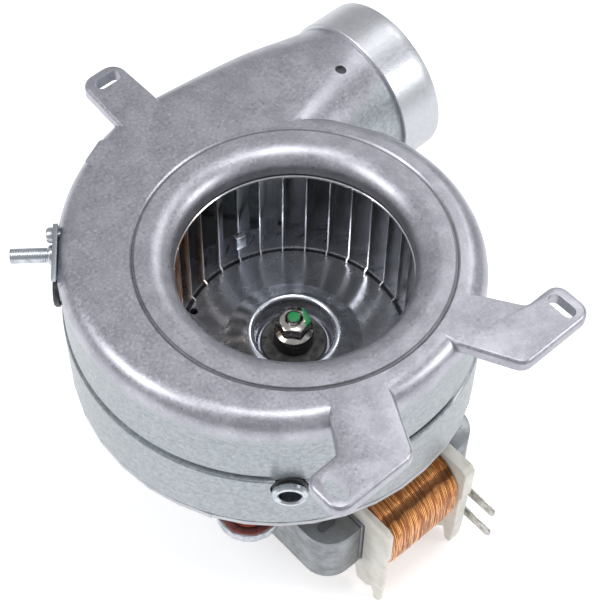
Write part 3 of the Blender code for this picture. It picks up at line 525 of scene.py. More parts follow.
def lamination_material():
    s = Shader("laminations", 0.9, 0.42, (0.24, 0.25, 0.26))
    patch = s.noise(5.0, 4.0, 0.65)
    layers = s.node("ShaderNodeTexNoise")
    layers.noise_dimensions = "1D"
    layers.inputs["Scale"].default_value = 2200.0
    layers.inputs["Detail"].default_value = 1.0
    s.link(s.axis("Z"), layers.inputs["W"])
    base = s.mix(s.band(patch, 0.35, 0.65), (0.27, 0.285, 0.30), (0.20, 0.205, 0.215))
    base = s.mix(s.band(layers.outputs["Fac"], 0.45, 0.62, 0.0, 0.55), base, (0.36, 0.38, 0.39))
    rust = s.band(s.noise(2.0, 3.0), 0.67, 0.75, 0.0, 0.5)
    s.colour(s.mix(rust, base, (0.16, 0.11, 0.08)))
    s.rough(s.band(patch, 0.3, 0.7, 0.34, 0.52))
    s.bump(layers.outputs["Fac"], 0.12, 0.7)
    return s.mat


WIRES = 54


def copper_material():
    s = Shader("enamelled_copper", 0.8, 0.24, (0.82, 0.36, 0.10))
    pitch = (high("coil").x - low("coil").x) / WIRES * MM
    valley = s.math("PINGPONG", s.math("SUBTRACT", s.axis("X"), low("coil").x * MM), pitch / 2)
    strand = s.noise(0.75, 2.0, 0.6, (1.0, 0.06, 0.06))
    patch = s.noise(6.0, 3.0)
    base = s.mix(s.band(strand, 0.42, 0.58), (0.90, 0.42, 0.14), (0.40, 0.13, 0.03))
    base = s.mix(s.band(patch, 0.58, 0.70, 0.0, 0.6), base, (0.26, 0.08, 0.018))
    # Painted shadow: a dark band along the top of the coil, under the housing's edge.
    edge = s.math("ADD", s.axis("Y"), s.math("MULTIPLY", s.noise(3.0, 2.0), 0.002))
    housing_edge_shadow = s.math("MULTIPLY", s.band(edge, -0.0650, -0.0640), s.band(edge, -0.0612, -0.0620))
    upper = s.band(s.axis("Z"), -0.080, -0.077)
    base = s.mix(s.math("MULTIPLY", s.math("MULTIPLY", housing_edge_shadow, upper), 0.8), base, (0.12, 0.035, 0.008))
    # Painted shade: the valleys between the wires are darkened.
    base = s.mix(s.band(valley, pitch * 0.2, pitch * 0.06), base, (0.06, 0.018, 0.005))
    s.colour(base)
    s.rough(s.band(strand, 0.3, 0.7, 0.20, 0.34))
    s.bsdf.inputs["Coat Weight"].default_value = 0.3
    s.bsdf.inputs["Coat Roughness"].default_value = 0.2
    return s.mat


def painted_steel(name, base_colour, paint, region):
    """Bright steel with a dab of paint where region(shader) is 1."""
    s = Shader(name, 1.0, 0.16, base_colour)
    streak = s.noise(1.2, 3.0)
    steel = s.mix(s.band(streak, 0.35, 0.7), base_colour, tuple(c * 0.75 for c in base_colour))
    dab = region(s)
    s.colour(s.mix(dab, steel, paint))
    s.link(s.math("SUBTRACT", 1.0, dab), s.bsdf.inputs["Metallic"])
    s.rough(s.band(dab, 0.0, 1.0, 0.16, 0.42))
    s.bump(streak, 0.02, 0.3)
    return s.mat


GREEN = (0.01, 0.25, 0.07)
TIP_Z = high("shaft").z


def tip_dab(s):
    ragged = s.math("ADD", s.radius(), s.math("MULTIPLY", s.noise(1.2, 2.0), 0.0006))
    tip = s.band(s.axis("Z"), (TIP_Z - 1.0) * MM, (TIP_Z - 0.7) * MM)
    return s.math("MULTIPLY", s.band(ragged, 0.0026, 0.0023), tip)


def nut_dab(s):
    side = s.math("SUBTRACT", s.math("MULTIPLY", s.axis("X"), 0.85), s.math("MULTIPLY", s.axis("Y"), 0.55))
    ragged = s.math("ADD", side, s.math("MULTIPLY", s.noise(1.0, 3.0), 0.002))
    return s.math("MULTIPLY", s.band(ragged, 0.0040, 0.0046), s.band(s.axis("Z"), -0.0400, -0.0388))


CAST = housing_material()
COVER = cast_material("cover_sheet", (0.50, 0.51, 0.53), (0.42, 0.43, 0.45))
BRIDGE = cast_material("bridge_casting", (0.38, 0.39, 0.41), (0.30, 0.31, 0.33))
BLADE = blade_material()
DISC = disc_material()
ZINC = plated_material("zinc_plate", (0.56, 0.58, 0.61), (0.40, 0.43, 0.47))
BRACKET = plated_material("bracket_plate", (0.50, 0.52, 0.55), (0.34, 0.36, 0.40), (0.28, 0.45))
TIN = plated_material("tinned_blade", (0.58, 0.575, 0.55), (0.40, 0.395, 0.37), (0.2, 0.36))
HUB_STEEL = plated_material("hub_steel", (0.13, 0.125, 0.125), (0.08, 0.078, 0.078), (0.55, 0.7))
DARK = plated_material("black_steel", (0.10, 0.10, 0.105), (0.06, 0.06, 0.065), (0.35, 0.5))
BRONZE = plated_material("sintered_bronze", (0.52, 0.34, 0.15), (0.40, 0.25, 0.10), (0.35, 0.5))
NYLON = moulded_material("nylon", (0.74, 0.715, 0.655), (0.62, 0.59, 0.52), 0.42, subsurface=0.05)
SILICONE = moulded_material("silicone", (0.66, 0.12, 0.065), (0.54, 0.09, 0.045), 0.45, subsurface=0.1)
RUBBER = moulded_material("rubber", (0.012, 0.012, 0.013), (0.02, 0.02, 0.021), 0.42)
LAMINATION = lamination_material()
COPPER = copper_material()
NUT = painted_steel("bright_nut", (0.62, 0.58, 0.54), GREEN, nut_dab)
SHAFT = painted_steel("ground_shaft", (0.45, 0.44, 0.44), GREEN, tip_dab)


# ---------------------------------------------------------------- housing

GAP = 0.3
SCROLL_RADIUS = 62.5
SCROLL_GROWTH = 22.4
SCROLL_FAR_SLOPE = 0.02
SCROLL_FAR_X, SCROLL_NEAR_X = 6.0, 50.0
SCROLL_ROUND_END = 85.0
SCROLL_FIRST, SCROLL_LAST = -17.5, 270.0
SCROLL_STEPS = 150
SHOULDER = 7.0
TONGUE_Y = 36.0
WALL = 2.5
TOP_PLATE = 3.0
WALL_BOTTOM = high("rear_cover").z + GAP
LEDGE_Z = -32.0
LEDGE_DEPTH = 0.64
GROOVE_DEPTH = 0.9
INLET_RADIUS, BELL_RADIUS, BELL_DEPTH = 39.2, 47.5, 6.5
BELL_LIP_Z = -8.0
BELL_SEGMENTS, BELL_STEPS = 160, 14
RING_GROOVE = (51.7, 52.6)
SPIGOT_RADIUS = 30.0
SPIGOT_END = high("volute_housing").x
SPIGOT_START = SPIGOT_END - 17.6
SPIGOT_Y = 57.7
SPIGOT_Z = mount("outlet_end").z
NECK_START, NECK_DROP_START, NECK_RADIUS = 2.0, 44.0, 28.6
NECK_NEAR_STEP, NECK_BOTTOM = -7.4, -57.8
SPIGOT_SEGMENTS = 96
LUG_THICKNESS = 4.6
SLOT_WIDTH, SLOT_REACH = 4.6, 2.9
LUG_A_SLOT = (1.5, 98.3)
LUG_B_SLOT = (48.3, -71.4)
TAP_ANGLE, TAP_Z = -133.0, middle("pressure_tap").z
EAR = [(-26.0, 66.0), (-27.3, 74.4), (-17.9, 78.5), (-14.9, 77.0), (-12.5, 70.0)]
FLAT_DIRECTION, FLAT_DISTANCE = 141.0, 76.2
FLAT_SPAN, FLAT_BOTTOM = (-8.5, 17.5), -24.0
STUD_SPOT = (9.0, mount("stud_end").z)
BRACKET_SCREW_SPOT = (13.2, -3.9)
PLUG_SPOT = (-1.6, middle("blanking_plug").z)
BOSS_RADIUS, BOSS_TOPS = 3.8, (-2.5, -2.5, -2.5, -20.0)
COVER_SCREWS = [tuple(middle(f"cover_screw_{k}").xy) for k in range(1, 5)]


def scroll_angles():
    span = SCROLL_LAST - SCROLL_FIRST
    return [SCROLL_FIRST + span * i / SCROLL_STEPS for i in range(SCROLL_STEPS + 1)]


def scroll_outline(far_x, near_x):
    """Clockwise plan of the scroll, cut off across the neck between far_x and near_x."""
    points = []
    for angle in scroll_angles():
        share = max(0.0, (angle - SCROLL_ROUND_END) / (SCROLL_LAST - SCROLL_ROUND_END))
        points.append(polar(SCROLL_RADIUS + SCROLL_GROWTH * share ** 1.4, -angle))
    points.append((far_x, points[-1][1] + SCROLL_FAR_SLOPE * far_x))
    points.append((near_x, TONGUE_Y))
    return points


def groove_share(angle):
    """How deep the groove round the wall is, at a clockwise angle from +X."""
    ends = ((137.0, 228.0), (76.0, 99.0))
    inside = max(min(angle - start, end - angle) for start, end in ends)
    return min(1.0, max(0.0, inside / 1.5))


def scroll_block():
    outline = scroll_outline(SCROLL_FAR_X, SCROLL_NEAR_X)
    groove = [GROOVE_DEPTH * groove_share(a) for a in scroll_angles()] + [0.0, 0.0]
    levels = []
    for k in range(13):
        turn = math.pi / 2 * k / 12
        levels.append(([SHOULDER * (1 - math.sin(turn))] * len(outline), -SHOULDER * (1 - math.cos(turn))))
    flat = [0.0] * len(outline)
    proud = [-LEDGE_DEPTH] * len(outline)
    deepest = [g * 1.3 for g in groove]
    levels += [(flat, LEDGE_Z + 3.0), ([g * 0.9 for g in groove], LEDGE_Z + 2.4),
               (deepest, LEDGE_Z + 2.0), (deepest, LEDGE_Z + 0.2),
               ([0.3 - LEDGE_DEPTH] * len(outline), LEDGE_Z), (proud, LEDGE_Z - 0.3),
               (proud, WALL_BOTTOM + 0.4), ([-LEDGE_DEPTH + 0.4] * len(outline), WALL_BOTTOM)]
    return loft([[(x, y, z) for x, y in offset_outline(outline, inset)] for inset, z in levels])


def neck_section(x, shrink):
    """Rounded rectangle across the neck, whose corners grow until it is round at the spigot."""
    along = min(1.0, max(0.0, (x - NECK_START) / (SPIGOT_START - NECK_START)))
    late = min(1.0, max(0.0, (x - NECK_DROP_START) / (SPIGOT_START - NECK_DROP_START)))
    late = late * late * (3 - 2 * late)
    far = SCROLL_RADIUS + SCROLL_GROWTH - 0.05 + SCROLL_FAR_SLOPE * x
    near = TONGUE_Y + NECK_NEAR_STEP + 0.5 * along
    top = -0.05 + (SPIGOT_Z + NECK_RADIUS + 0.05) * late
    bottom = NECK_BOTTOM + (SPIGOT_Z - NECK_RADIUS - NECK_BOTTOM) * late
    upper = SHOULDER + (NECK_RADIUS - SHOULDER) * along ** 1.3
    lower = 2.0 + (NECK_RADIUS - 2.0) * late
    ring = []
    for i in range(SPIGOT_SEGMENTS):
        turn = 2 * math.pi * (i + 0.5) / SPIGOT_SEGMENTS
        corner = max((upper if math.sin(turn) > 0 else lower) - shrink, 0.5)
        half_y, half_z = (far - near) / 2 - shrink - corner, (top - bottom) / 2 - shrink - corner
        ring.append((x, (far + near) / 2 + math.copysign(half_y, math.cos(turn)) + corner * math.cos(turn),
                     (top + bottom) / 2 + math.copysign(half_z, math.sin(turn)) + corner * math.sin(turn)))
    return ring


def spigot_ring(x, radius):
    turns = [2 * math.pi * (i + 0.5) / SPIGOT_SEGMENTS for i in range(SPIGOT_SEGMENTS)]
    return [(x, SPIGOT_Y + radius * math.cos(a), SPIGOT_Z + radius * math.sin(a)) for a in turns]


def stations(first, last, count):
    return [first + (last - first) * i / count for i in range(count + 1)]


def neck_and_spigot():
    rings = [neck_section(x, 0.0) for x in stations(NECK_START, SPIGOT_START, 30)]
    rings += [spigot_ring(SPIGOT_START + 0.25, SPIGOT_RADIUS - 0.3),
              spigot_ring(SPIGOT_START + 0.6, SPIGOT_RADIUS)]
    rings += [spigot_ring(x, SPIGOT_RADIUS) for x in stations(SPIGOT_START + 2, SPIGOT_END - 0.6, 4)]
    rings += [spigot_ring(SPIGOT_END - 0.2, SPIGOT_RADIUS - 0.2),
              spigot_ring(SPIGOT_END, SPIGOT_RADIUS - 0.6)]
    return loft(rings)


def neck_channel():
    rings = [neck_section(x, WALL) for x in [-4.0] + stations(8.0, SPIGOT_START, 24)]
    bore = NECK_RADIUS - WALL + 0.6
    rings += [spigot_ring(SPIGOT_END - 0.6, bore), spigot_ring(SPIGOT_END + 0.2, bore + 0.8),
              spigot_ring(SPIGOT_END + 1, bore + 0.8)]
    return loft(rings)


def lug_outlines():
    """Plans of the three lugs: one along +Y and a mirrored pair on either side of -Y."""
    lug_a = rounded([(-9.0, 70.0), (-6.7, 104.2), (9.2, 104.2), (9.2, 70.0)], [0, 5.5, 5.5, 0])
    corners = [(11.0, -50.0), (13.6, -60.0), (23.6, -79.3), (54.4, -79.3), (54.4, -63.7),
               (40.6, -63.7), (29.0, -46.0)]
    lug_b = rounded(corners, [0, 6, 5, 5, 4.5, 3, 0])
    lug_c = [(-x, y) for x, y in reversed(lug_b)]
    return lug_a, lug_b, lug_c


def lug_solid(outline):
    clockwise = list(reversed(outline)) if signed_area(outline) > 0 else outline
    steps = ((1.1, 0.0), (0.85, -0.08), (0.15, -0.75), (0.0, -1.05), (0.0, 0.4 - LUG_THICKNESS),
             (0.4, -LUG_THICKNESS))
    return loft([[(x, y, z) for x, y in offset_outline(clockwise, inset)] for inset, z in steps])


def bell_curve(radius_add, z_add):
    """Quarter ellipse from the flat of the top plate down to the throat."""
    points = []
    for k in range(BELL_STEPS + 1):
        turn = math.pi / 2 * k / BELL_STEPS
        radius = BELL_RADIUS - (BELL_RADIUS - INLET_RADIUS) * math.sin(turn) + radius_add
        points.append((radius, -BELL_DEPTH * (1 - math.cos(turn)) + z_add))
    return points


def flat_frame(spot=(0.0, 0.0)):
    """Placement on the wall's flat: local +Z points outwards and local +X points down."""
    along, z = spot
    direction = math.radians(FLAT_DIRECTION)
    placed = outward(FLAT_DIRECTION, FLAT_DISTANCE, z)
    placed.translation += along * Vector((math.sin(direction), -math.cos(direction), 0))
    return placed


def housing():
    body = scroll_block()
    join(body, neck_and_spigot())
    join(body, *[lug_solid(outline) for outline in lug_outlines()])
    join(body, prism(rounded(EAR, [0, 1.2, 1.2, 1, 0]), -6.0, -0.02))
    flat_cut = box((-1.0, -FLAT_SPAN[1], -GAP), (-FLAT_BOTTOM, -FLAT_SPAN[0], 8.0))
    cut(body, turned(flat_cut, flat_frame()))
    pad = [(0.4, -10.0), (0.4, -5.5), (3.2, -GAP - 0.02), (12.5, -GAP - 0.02), (12.5, -10.0)]
    ends = (-FLAT_SPAN[1] + 2, -FLAT_SPAN[0] - 1.5)
    join(body, turned(loft([[(down, y, out) for down, out in pad] for y in ends]), flat_frame()))
    cavity = offset_outline(scroll_outline(SCROLL_FAR_X, SCROLL_NEAR_X - 6.0), WALL)
    cut(body, prism(cavity, WALL_BOTTOM - 1, -TOP_PLATE))
    cut(body, neck_channel())
    join(body, *[cylinder(BOSS_RADIUS, WALL_BOTTOM, boss_top, 40, spot)
                 for spot, boss_top in zip(COVER_SCREWS, BOSS_TOPS)])
    cut(body, *[cylinder(2.0, WALL_BOTTOM - 1, WALL_BOTTOM + 14, 24, spot) for spot in COVER_SCREWS])
    under = bell_curve(1.9, -2.2)
    collar = [(36.0, -2.0), (51.0, -2.0), (51.0, -2.9)] + under + [(41.1, BELL_LIP_Z), (36.0, BELL_LIP_Z)]
    join(body, revolve(collar, BELL_SEGMENTS))
    air = [(0.0, 2.0), (BELL_RADIUS, 2.0)] + bell_curve(0.0, 0.0)
    cut(body, revolve(air + [(INLET_RADIUS, BELL_LIP_Z - 1), (0.0, BELL_LIP_Z - 1)], BELL_SEGMENTS))
    inner, outer = RING_GROOVE
    ring = [(inner, 1), (inner, -0.45), (inner + 0.2, -0.65), (outer - 0.3, -0.65), (outer + 0.45, -0.02),
            (outer + 0.45, 1)]
    cut(body, revolve(ring, BELL_SEGMENTS))
    slots = ((LUG_A_SLOT, 0), (LUG_B_SLOT, 90), ((-LUG_B_SLOT[0], LUG_B_SLOT[1]), 90))
    cut(body, *[prism(slot_outline(spot, turn, SLOT_REACH, SLOT_WIDTH), -LUG_THICKNESS - 1, 1)
                for spot, turn in slots])
    cut(body, cylinder(2.0, -TOP_PLATE - 0.4, 1, 32, NECK_HOLE))
    cut(body, turned(cylinder(6.3, -12.0, 6.0), outward(TAP_ANGLE, SCROLL_RADIUS, TAP_Z)))
    for radius, spot in ((1.6, BRACKET_SCREW_SPOT), (2.6, STUD_SPOT), (3.0, PLUG_SPOT)):
        cut(body, turned(cylinder(radius, -9.0, 1.0, 24), flat_frame(spot)))
    place(body, CAST, STATIC, ("volute_housing",), name="housing_casting")


# ---------------------------------------------------------------- fittings on the housing

def thread(radius, depth, pitch, start, end):
    """Threaded rod along +Z, with a real helix and chamfered ends."""
    segments = 36
    bm = bmesh.new()
    rows = int((end - start) / pitch * 8)
    previous = None
    for k in range(rows + 1):
        z = start + (end - start) * k / rows
        fade = min(1.0, (z - start) / pitch, (end - z) / pitch)
        row = []
        for i in range(segments):
            wave = abs(((z / pitch - i / segments) % 1.0) * 2 - 1)
            r = radius - depth * (wave if fade >= 1 else wave * fade + (1 - fade) * 1.2)
            row.append(bm.verts.new((*[c * r for c in (math.cos(2 * math.pi * i / segments),
                                                       math.sin(2 * math.pi * i / segments))], z)))
        if previous:
            for i in range(segments):
                j = (i + 1) % segments
                bm.faces.new((previous[i], previous[j], row[j], row[i]))
        else:
            bm.faces.new(row)
        previous = row
    bm.faces.new(previous)
    return make_object("tool", bm)


def pan_screw(node, up, mat, body_name):
    """Pan-head screw with a cross recess, in the space of the CAD screw."""
    size = high(node) - low(node)
    centre = middle(node)
    head_radius = min(size.x, size.y) / 2
    head_height = 2.5
    way = 1 if up else -1
    seat = low(node).z + head_height if up else high(node).z - head_height
    tip = high(node).z if up else low(node).z
    shank = head_radius * 0.5
    dome = [(head_radius * math.cos(a), seat - way * (0.8 + (head_height - 0.8) * math.sin(a)))
            for a in (math.pi / 2 * k / 6 for k in range(7))]
    profile = [(0, tip), (shank * 0.7, tip), (shank, tip - way * shank * 0.5), (shank, seat),
               (head_radius, seat)] + dome
    body = revolve(profile, 48, centre=(centre.x, centre.y))
    top = seat - way * head_height
    depth = way * 1.3
    for a, b in ((1.9, 0.42), (0.42, 1.9)):
        cut(body, box((centre.x - a, centre.y - b, min(top + depth, top - way)),
                      (centre.x + a, centre.y + b, max(top + depth, top - way))))
    place(body, mat, body_name, (node,), name=node + "_look")


def fittings():
    stub = [(3.7, -9.0), (4.6, -9.0), (4.6, 4.7), (5.5, 4.9), (5.8, 5.3), (5.8, 6.4), (5.3, 7.1),
            (4.2, 7.2), (3.7, 6.6)]
    tap_frame = outward(TAP_ANGLE, SCROLL_RADIUS, TAP_Z)
    place(turned(revolve(stub, 64), tap_frame), ZINC, STATIC, ("pressure_tap",), name="tap_stub")
    ribs = [(4.9, -3.6)]
    for k in range(5):
        z = -3.2 + 1.5 * k
        ribs += [(5.3, z - 0.2), (5.9, z + 0.1), (6.0, z + 0.45), (5.9, z + 0.8), (5.3, z + 1.1)]
    seal = turned(revolve(ribs + [(4.9, 4.2)], 64), tap_frame)
    place(seal, RUBBER, STATIC, ("tap_seal",), name="tap_ribs")
    plug = [(0, -6.0), (2.7, -6.0), (2.7, 0.0), (5.0, 0.0), (5.3, 0.3), (5.3, 1.4), (4.9, 2.0), (4.2, 2.2),
            (3.6, 1.9), (0, 1.7)]
    place(turned(revolve(plug, 64), flat_frame(PLUG_SPOT)), DARK, STATIC, ("blanking_plug",), name="plug")
    soften("stud_bracket", ZINC, STATIC, 0.35)
    seat = 1.8
    base = [(0, -6.5), (2.3, -6.5), (2.3, seat), (3.0, seat), (3.3, seat + 0.3), (3.3, seat + 1.3),
            (3.0, seat + 1.7), (2.2, seat + 2.2), (0, seat + 2.2)]
    stud = revolve(base, 48)
    join(stud, thread(2.55, 0.09, 0.8, seat + 2.0, seat + 14.2))
    turned(stud, flat_frame(STUD_SPOT))
    place(stud, ZINC, STATIC, ("fixing_stud",), smooth=THREAD_SMOOTH, name="stud_threaded")
    head = [(0, seat - 6.0), (1.3, seat - 6.0), (1.3, seat), (2.7, seat), (2.65, seat + 1.2),
            (2.2, seat + 2.0), (0, seat + 2.2)]
    screw = revolve(head, 40)
    cut(screw, *[box((-a, -b, seat + 1.2), (a, b, seat + 3)) for a, b in ((1.7, 0.35), (0.35, 1.7))])
    turned(screw, flat_frame(BRACKET_SCREW_SPOT))
    place(screw, ZINC, STATIC, ("bracket_screw",), name="bracket_screw_look")
    for k in range(1, 5):
        pan_screw(f"cover_screw_{k}", True, ZINC, STATIC)


# ---------------------------------------------------------------- impeller

BLADE_COUNT = 30
BLADE_INNER, BLADE_OUTER = 38.8, 49.3
BLADE_SWEEP, BLADE_PHASE = 11.0, 6.0
BLADE_THICKNESS, BLADE_STEPS = 0.45, 12
DISC_TOP = -49.5
DISC_RADIUS = high("impeller_back_disc").x
DOME_HEIGHT, DOME_RADIUS = 5.0, 24.0
DISC_HOLES = ((26.0, 145.0), (36.5, 120.0))
HUB_SEAT = -52.0
CAGE_TOP = high("impeller_blade_cage").z
NUT_FLATS = 10.0


def blade_point(share, angle):
    radius = BLADE_INNER + (BLADE_OUTER - BLADE_INNER) * share
    return Vector(polar(radius, angle - BLADE_SWEEP * share ** 1.7))


def blade(bm, angle):
    """One curved blade with its folded foot, which steps inwards just above the disc."""
    foot = DISC_TOP + 2.6
    levels = ((DISC_TOP + 0.32, -1.3), (foot - 0.9, -1.3), (foot, 0.0), (CAGE_TOP - 0.5, 0.0))
    loops = []
    for z, shift in levels:
        sides = ([], [])
        for k in range(BLADE_STEPS + 1):
            share = k / BLADE_STEPS
            here = blade_point(share, angle)
            ahead, behind = min(1, share + 0.02), max(0, share - 0.02)
            along = (blade_point(ahead, angle) - blade_point(behind, angle)).normalized()
            reach = shift * (1 - share) ** 3
            across = Vector((along.y, -along.x)) * BLADE_THICKNESS / 2
            here = here + along * reach
            sides[0].append((*(here + across), z))
            sides[1].append((*(here - across), z))
        loops.append([bm.verts.new(point) for point in sides[0] + sides[1][::-1]])
    count = len(loops[0])
    for lower, upper in zip(loops, loops[1:]):
        for i in range(count):
            j = (i + 1) % count
            bm.faces.new((lower[i], lower[j], upper[j], upper[i]))
    for end in (loops[0], loops[-1]):
        for k in range(BLADE_STEPS):
            bm.faces.new((end[k], end[k + 1], end[count - 2 - k], end[count - 1 - k]))


def impeller():
    bm = bmesh.new()
    for number in range(BLADE_COUNT):
        blade(bm, BLADE_PHASE + 360 * number / BLADE_COUNT)
    blades = make_object("blades", bm)
    rim = [(BLADE_INNER + 0.2, CAGE_TOP - 0.9), (BLADE_OUTER + 0.5, CAGE_TOP - 0.9),
           (BLADE_OUTER + 0.6, CAGE_TOP - 0.5), (BLADE_OUTER + 0.5, CAGE_TOP),
           (BLADE_INNER + 0.5, CAGE_TOP), (BLADE_INNER + 0.2, CAGE_TOP - 0.3)]
    ring = revolve(rim, 180, "front_ring")
    place(blades, BLADE, SPINNING, ("impeller_blade_cage",))
    place(ring, BLADE, SPINNING)
    dome = DISC_TOP + DOME_HEIGHT
    top = [(DISC_RADIUS - 0.3, DISC_TOP), (40.0, DISC_TOP), (39.6, DISC_TOP - 0.5), (38.4, DISC_TOP - 0.5),
           (38.0, DISC_TOP), (DOME_RADIUS, DISC_TOP)]
    for k in range(1, 13):
        share = k / 12
        rise = 0.65 * share + 0.35 * share * share * (3 - 2 * share)
        top.append((DOME_RADIUS - 8.5 * share, DISC_TOP + DOME_HEIGHT * rise))
    top += [(14.9, dome - 0.05), (14.3, dome - 0.4), (13.8, dome - 1.1), (13.5, dome - 2.2),
            (12.9, HUB_SEAT + 0.5), (12.3, HUB_SEAT), (4.0, HUB_SEAT)]
    bottom = [(4.0, HUB_SEAT - 1), (13.6, HUB_SEAT - 1), (14.6, dome - 2.0), (15.5, dome - 1),
              (18.0, DISC_TOP + 2.4), (20.6, DISC_TOP + 0.2), (DOME_RADIUS, DISC_TOP - 1),
              (DISC_RADIUS, DISC_TOP - 1), (DISC_RADIUS, DISC_TOP - 0.3)]
    disc = revolve(top + bottom, 160)
    cut(disc, *[cylinder(1.4, DISC_TOP - 2, DISC_TOP + 1, 32, polar(*hole)) for hole in DISC_HOLES])
    for number in range(BLADE_COUNT):
        angle = BLADE_PHASE + 360 * (number + 0.55) / BLADE_COUNT
        spine = [blade_point(share, angle) for share in (0.42, 0.55, 0.68, 0.80)]
        outline = [tuple(p + Vector(polar(w, angle + 50))) for p, w in zip(spine, (0.0, 0.45, 0.5, 0.0))]
        outline += [tuple(p - Vector(polar(w, angle + 50))) for p, w in zip(spine[2:0:-1], (0.5, 0.45))]
        cut(disc, prism(outline, DISC_TOP - 2, DISC_TOP + 1))
    place(disc, DISC, SPINNING, ("impeller_back_disc",), name="back_disc")
    soften("balance_clip", BRACKET, SPINNING, 0.25)


def hub():
    plate_low, plate_high = low("hub_plate").z, high("hub_plate").z
    profile = [(4.0, plate_low), (11.6, plate_low), (11.6, plate_high - 0.5), (11.1, plate_high),
               (4.0, plate_high)]
    flange = revolve(profile, 96)
    cut(flange, *[cylinder(0.9, plate_high - 0.4, plate_high + 1, 24, polar(9.9, 45 + 90 * k))
                  for k in range(4)])
    place(flange, HUB_STEEL, SPINNING, ("hub_plate",), name="hub_flange")
    z0, z1 = low("hub_bush").z, high("hub_bush").z
    profile = [(3.3, z0), (6.5, z0), (6.8, z0 + 0.3), (6.8, z1 - 0.9), (6.4, z1 - 0.3), (5.8, z1),
               (3.3, z1)]
    place(revolve(profile, 72), RUBBER, SPINNING, ("hub_bush",), name="rubber_bush")
    n0, n1 = low("flange_nut").z, high("flange_nut").z
    flange = revolve([(2.7, n0), (6.5, n0), (6.8, n0 + 0.25), (6.7, n0 + 0.6), (5.4, n0 + 1.3),
                      (4.6, n0 + 1.8), (2.7, n0 + 1.8)], 72)
    corner = NUT_FLATS / math.sqrt(3)
    crown = prism([polar(corner, 60 * k + 12) for k in range(6)], n0 + 1.1, n1)
    trim = revolve([(0, n0), (corner + 1, n0), (corner + 1, n1 - 1.0), (corner - 0.1, n1 - 0.75),
                    (4.2, n1 + 0.02), (0, n1 + 0.02)], 72)
    combine(crown, [trim], "INTERSECT")
    join(flange, crown)
    cut(flange, revolve([(0, n0 - 1), (2.7, n0 - 1), (2.7, n1 - 0.5), (3.3, n1 + 0.1), (0, n1 + 0.1)], 48))
    place(flange, NUT, SPINNING, ("flange_nut",), name="nut_look")
    s0, s1 = low("shaft").z, high("shaft").z
    profile = [(0, s0), (2.5, s0), (3.0, s0 + 0.6), (3.0, HUB_SEAT + 3), (2.4, HUB_SEAT + 3.4)]
    for k in range(int((s1 - 0.8 - (HUB_SEAT + 4)) / 0.35)):
        z = HUB_SEAT + 4 + 0.35 * k
        profile += [(2.4, z), (2.2, z + 0.175)]
    profile += [(2.35, s1 - 0.6), (2.0, s1 - 0.1), (1.7, s1), (0, s1)]
    place(revolve(profile, 48), SHAFT, SPINNING, ("shaft",), smooth=THREAD_SMOOTH, name="shaft_look")


# ---------------------------------------------------------------- motor

COIL_BULGE = 0.7
COIL_CORNERS = (14.0, 8.0, 10.0, 15.0)
INTERLOCK_SIDE, INTERLOCK_BACK = 29.5, 8.7


def coil():
    """Winding: each wire is a real round ridge, slightly uneven, round the coil's bulging section."""
    a, b = low("coil"), high("coil")
    edge = 0.1
    corners = [(a.y + edge, b.z - edge), (b.y - edge, b.z - edge), (b.y - edge, a.z + edge),
               (a.y + edge, a.z + edge)]
    outline = rounded(corners, COIL_CORNERS, 12)
    dense = []
    for p, q in zip(outline, outline[1:] + outline[:1]):
        p, q = Vector(p), Vector(q)
        parts = max(1, int((q - p).length / 2.0))
        dense += [tuple(p.lerp(q, k / parts)) for k in range(parts)]
    clockwise = dense if signed_area(dense) < 0 else dense[::-1]
    per_wire = 8
    rows = WIRES * per_wire
    rings = []
    for k in range(rows + 1):
        x = a.x + (b.x - a.x) * k / rows
        off = (k % per_wire) / per_wire * 2 - 1
        ridge = math.sqrt(max(0.0, 1 - off * off)) if k % per_wire else 0.0
        sag = COIL_BULGE * (1 - (1 - abs(2 * k / rows - 1) ** 3) ** 0.5)
        wire = k // per_wire
        depth = []
        for y, z in clockwise:
            uneven = noise.noise(Vector((wire * 0.73, y * 0.07, z * 0.07)))
            depth.append(0.36 * (1 - ridge) + sag + 0.22 + 0.24 * uneven)
        rings.append([(x, y, z) for y, z in offset_outline(clockwise, depth)])
    body = loft(rings)
    leg_low, leg_high = low("coil_leg"), high("coil_leg")
    wall = 2.1
    cut(body, box((a.x - 1, leg_low.y - wall, leg_low.z - wall),
                  (b.x + 1, leg_high.y + wall, leg_high.z + wall)))
    place(body, COPPER, STATIC, ("coil",), smooth=math.radians(80), name="winding")


def stator():
    """Lamination stack with the two interlock marks on its top sheet."""
    soften("stator_core", LAMINATION, STATIC, 0.25)
    top = high("stator_core").z
    for sign in (-1, 1):
        spot = (sign * INTERLOCK_SIDE, low("stator_core").y + INTERLOCK_BACK)
        mark = prism(slot_outline(spot, 0, 1.9, 3.3), top - 0.1, top + 0.16)
        cut(mark, prism(slot_outline(spot, 0, 1.7, 2.3), top + 0.04, top + 1))
        place(mark, LAMINATION, STATIC, name=f"interlock_{'left' if sign < 0 else 'right'}")


def motor():
    stator()
    coil()
    soften("coil_leg", LAMINATION, STATIC, 0.2)
    soften("bobbin", NYLON, STATIC, 0.45, 3)
    for k in (1, 2):
        soften(f"terminal_{k}", TIN, STATIC, 0.18)
        soften(f"shading_ring_{k}", COPPER, STATIC, 0.2)
        soften(f"bolt_nut_{k}", ZINC, STATIC, 0.25)
        pan_screw(f"through_bolt_{k}", False, ZINC, STATIC)
    soften("lower_bridge", BRIDGE, STATIC, 0.4)
    soften("motor_bracket", BRACKET, STATIC, 0.3)
    soften("rotor_core", BRIDGE, SPINNING, 0.3)
    for node in ("upper_bearing", "lower_bearing"):
        soften(node, BRONZE, STATIC, 0.25)
    for node in ("upper_thrust_washer", "lower_thrust_washer"):
        soften(node, NYLON, STATIC, 0.1)
    for k in (1, 2, 3):
        grommet(k)
        pan_screw(f"mount_screw_{k}", True, ZINC, STATIC)


